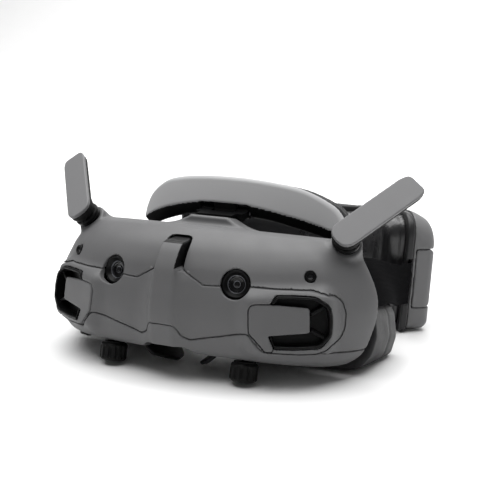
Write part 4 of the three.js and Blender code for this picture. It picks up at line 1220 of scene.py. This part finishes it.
def ribbon(name, side):
    """A strap from the visor to the pack."""
    end = pack_place(side * 50.8, SLOT_RADIUS, STRAP_BACK)
    outward = outward_at(end)
    controls = [(side * 67, 42), (side * 72, 58), (end[0] - side * 4, end[1] - 20), end]
    verts = []
    for i in range(STRAP_STEPS + 1):
        t = i / STRAP_STEPS
        p = bezier(controls, t)
        ahead = bezier(controls, min(1, t + 0.01)) - bezier(controls, max(0, t - 0.01))
        ahead /= np.linalg.norm(ahead)
        n = np.array((-ahead[1], ahead[0]))
        near = 1 - float(step(p[1], 45, end[1]))
        ripple = RIPPLE * math.sin(t * 9 + side) * math.sin(math.pi * t)
        middle = STRAP_BACK + (STRAP_FRONT - STRAP_BACK) * near
        for k in range(2 * STRAP_ROWS):
            face = 1 if k < STRAP_ROWS else -1
            v = k / STRAP_ROWS if face > 0 else 2 - k / STRAP_ROWS
            edge = min(1, min(v, 1 - v) * STRAP_WIDE / 0.9)
            half = STRAP_THICK / 2 * (0.45 + 0.55 * math.sqrt(max(0, edge * (2 - edge))))
            if edge >= 1:
                half += RIB_DEPTH * math.cos(v * math.pi * 2 * RIBS)
            q = p + n * (half * face + ripple * math.sin(v * 5))
            z = middle + STRAP_WIDE * (v - 0.5)
            lean = (z - STRAP_BACK) * DRAFT / DRAFT_HEIGHT * (1 - near) ** 3 * outward
            verts.append((q[0] + side * STRAP_FLARE * near * (1 - v) + lean[0], q[1] + lean[1], z))
    ring = 2 * STRAP_ROWS
    faces = []
    for i in range(STRAP_STEPS):
        here, there = i * ring, (i + 1) * ring
        faces += [(here + k, here + (k + 1) % ring, there + (k + 1) % ring, there + k)
                  for k in range(ring)]
    faces += [tuple(range(ring))[::-1], tuple(STRAP_STEPS * ring + k for k in range(ring))]
    made = mesh_object(name, verts, faces)
    weld(made, 1e-6)
    sharpen(made, 50)
    return made


for name, side in SIDES:
    strap = ribbon(f"{name}_webbing_band", side)
    strap.data.materials.append(WEAVE)
    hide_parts(f"{name}_webbing")
    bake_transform(strap)

# ---- CAD pieces that stay
KEPT = {"rear_housing": MATTE_BLACK, "face_frame": MATTE_BLACK, "main_board": BOARD,
        "fan_housing": BLACK, "fan_rotor": BLACK, "left_carriage": BLACK, "right_carriage": BLACK,
        "left_display": GLASS, "right_display": GLASS, "pad_bracket": BLACK,
        "pad_hinge_pin": STEEL, "pack_cells": WRAP, "pack_board": BOARD}
for name, finish in KEPT.items():
    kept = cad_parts[name]
    if not kept.material_slots:
        kept.data.materials.append(finish)
    for slot in kept.material_slots:
        slot.material = finish

# ---- camera, floor and light
scene = bpy.context.scene
cam_data = bpy.data.cameras.new("camera")
cam_data.lens = 79.2
cam_data.sensor_width = 36
camera = bpy.data.objects.new("camera", cam_data)
scene.collection.objects.link(camera)
camera.location = (0.23877, -0.48823, 0.16767)
camera.rotation_mode = "QUATERNION"
camera.rotation_quaternion = Vector((-0.4271, 0.8757, -0.2250)).to_track_quat("-Z", "Y")
scene.camera = camera

floor_mesh = bpy.data.meshes.new("floor")
SWEEP_START, SWEEP_RADIUS, SWEEP_TOP, STAGE_HALF = 1.0, 0.8, 3.0, 4.0
sweep = [(-STAGE_HALF, 0.0)]
sweep += [(SWEEP_START + SWEEP_RADIUS * math.sin(a), SWEEP_RADIUS * (1 - math.cos(a)))
          for a in np.linspace(0, math.pi / 2, 25)]
sweep += [(SWEEP_START + SWEEP_RADIUS, SWEEP_TOP)]
floor_mesh.from_pydata([(x, y, z) for y, z in sweep for x in (-STAGE_HALF, STAGE_HALF)], [],
                       [(2 * i, 2 * i + 1, 2 * i + 3, 2 * i + 2) for i in range(len(sweep) - 1)])
floor_mesh.polygons.foreach_set("use_smooth", [True] * len(floor_mesh.polygons))
floor_mesh.materials.append(FLOOR)
floor = bpy.data.objects.new("floor", floor_mesh)
scene.collection.objects.link(floor)

world = bpy.data.worlds.new("studio")
world.use_nodes = True
world.node_tree.nodes["Background"].inputs["Color"].default_value = (1, 1, 1, 1)
world.node_tree.nodes["Background"].inputs["Strength"].default_value = 0.2
scene.world = world
scene.view_settings.view_transform = "Standard"


def softbox(name, at, target, size, power):
    data = bpy.data.lights.new(name, "AREA")
    data.shape = "RECTANGLE"
    data.size, data.size_y = size
    data.energy = power
    lamp = bpy.data.objects.new(name, data)
    lamp.location = at
    lamp.rotation_mode = "QUATERNION"
    lamp.rotation_quaternion = (Vector(target) - Vector(at)).to_track_quat("-Z", "Y")
    scene.collection.objects.link(lamp)


softbox("top_box", (-0.15, 0.1, 1.3), (0, 0, 0), (1.8, 1.8), 39)
softbox("wall_box", (0.0, 0.5, 1.5), (0, 2.0, 0.6), (2.5, 0.8), 26)
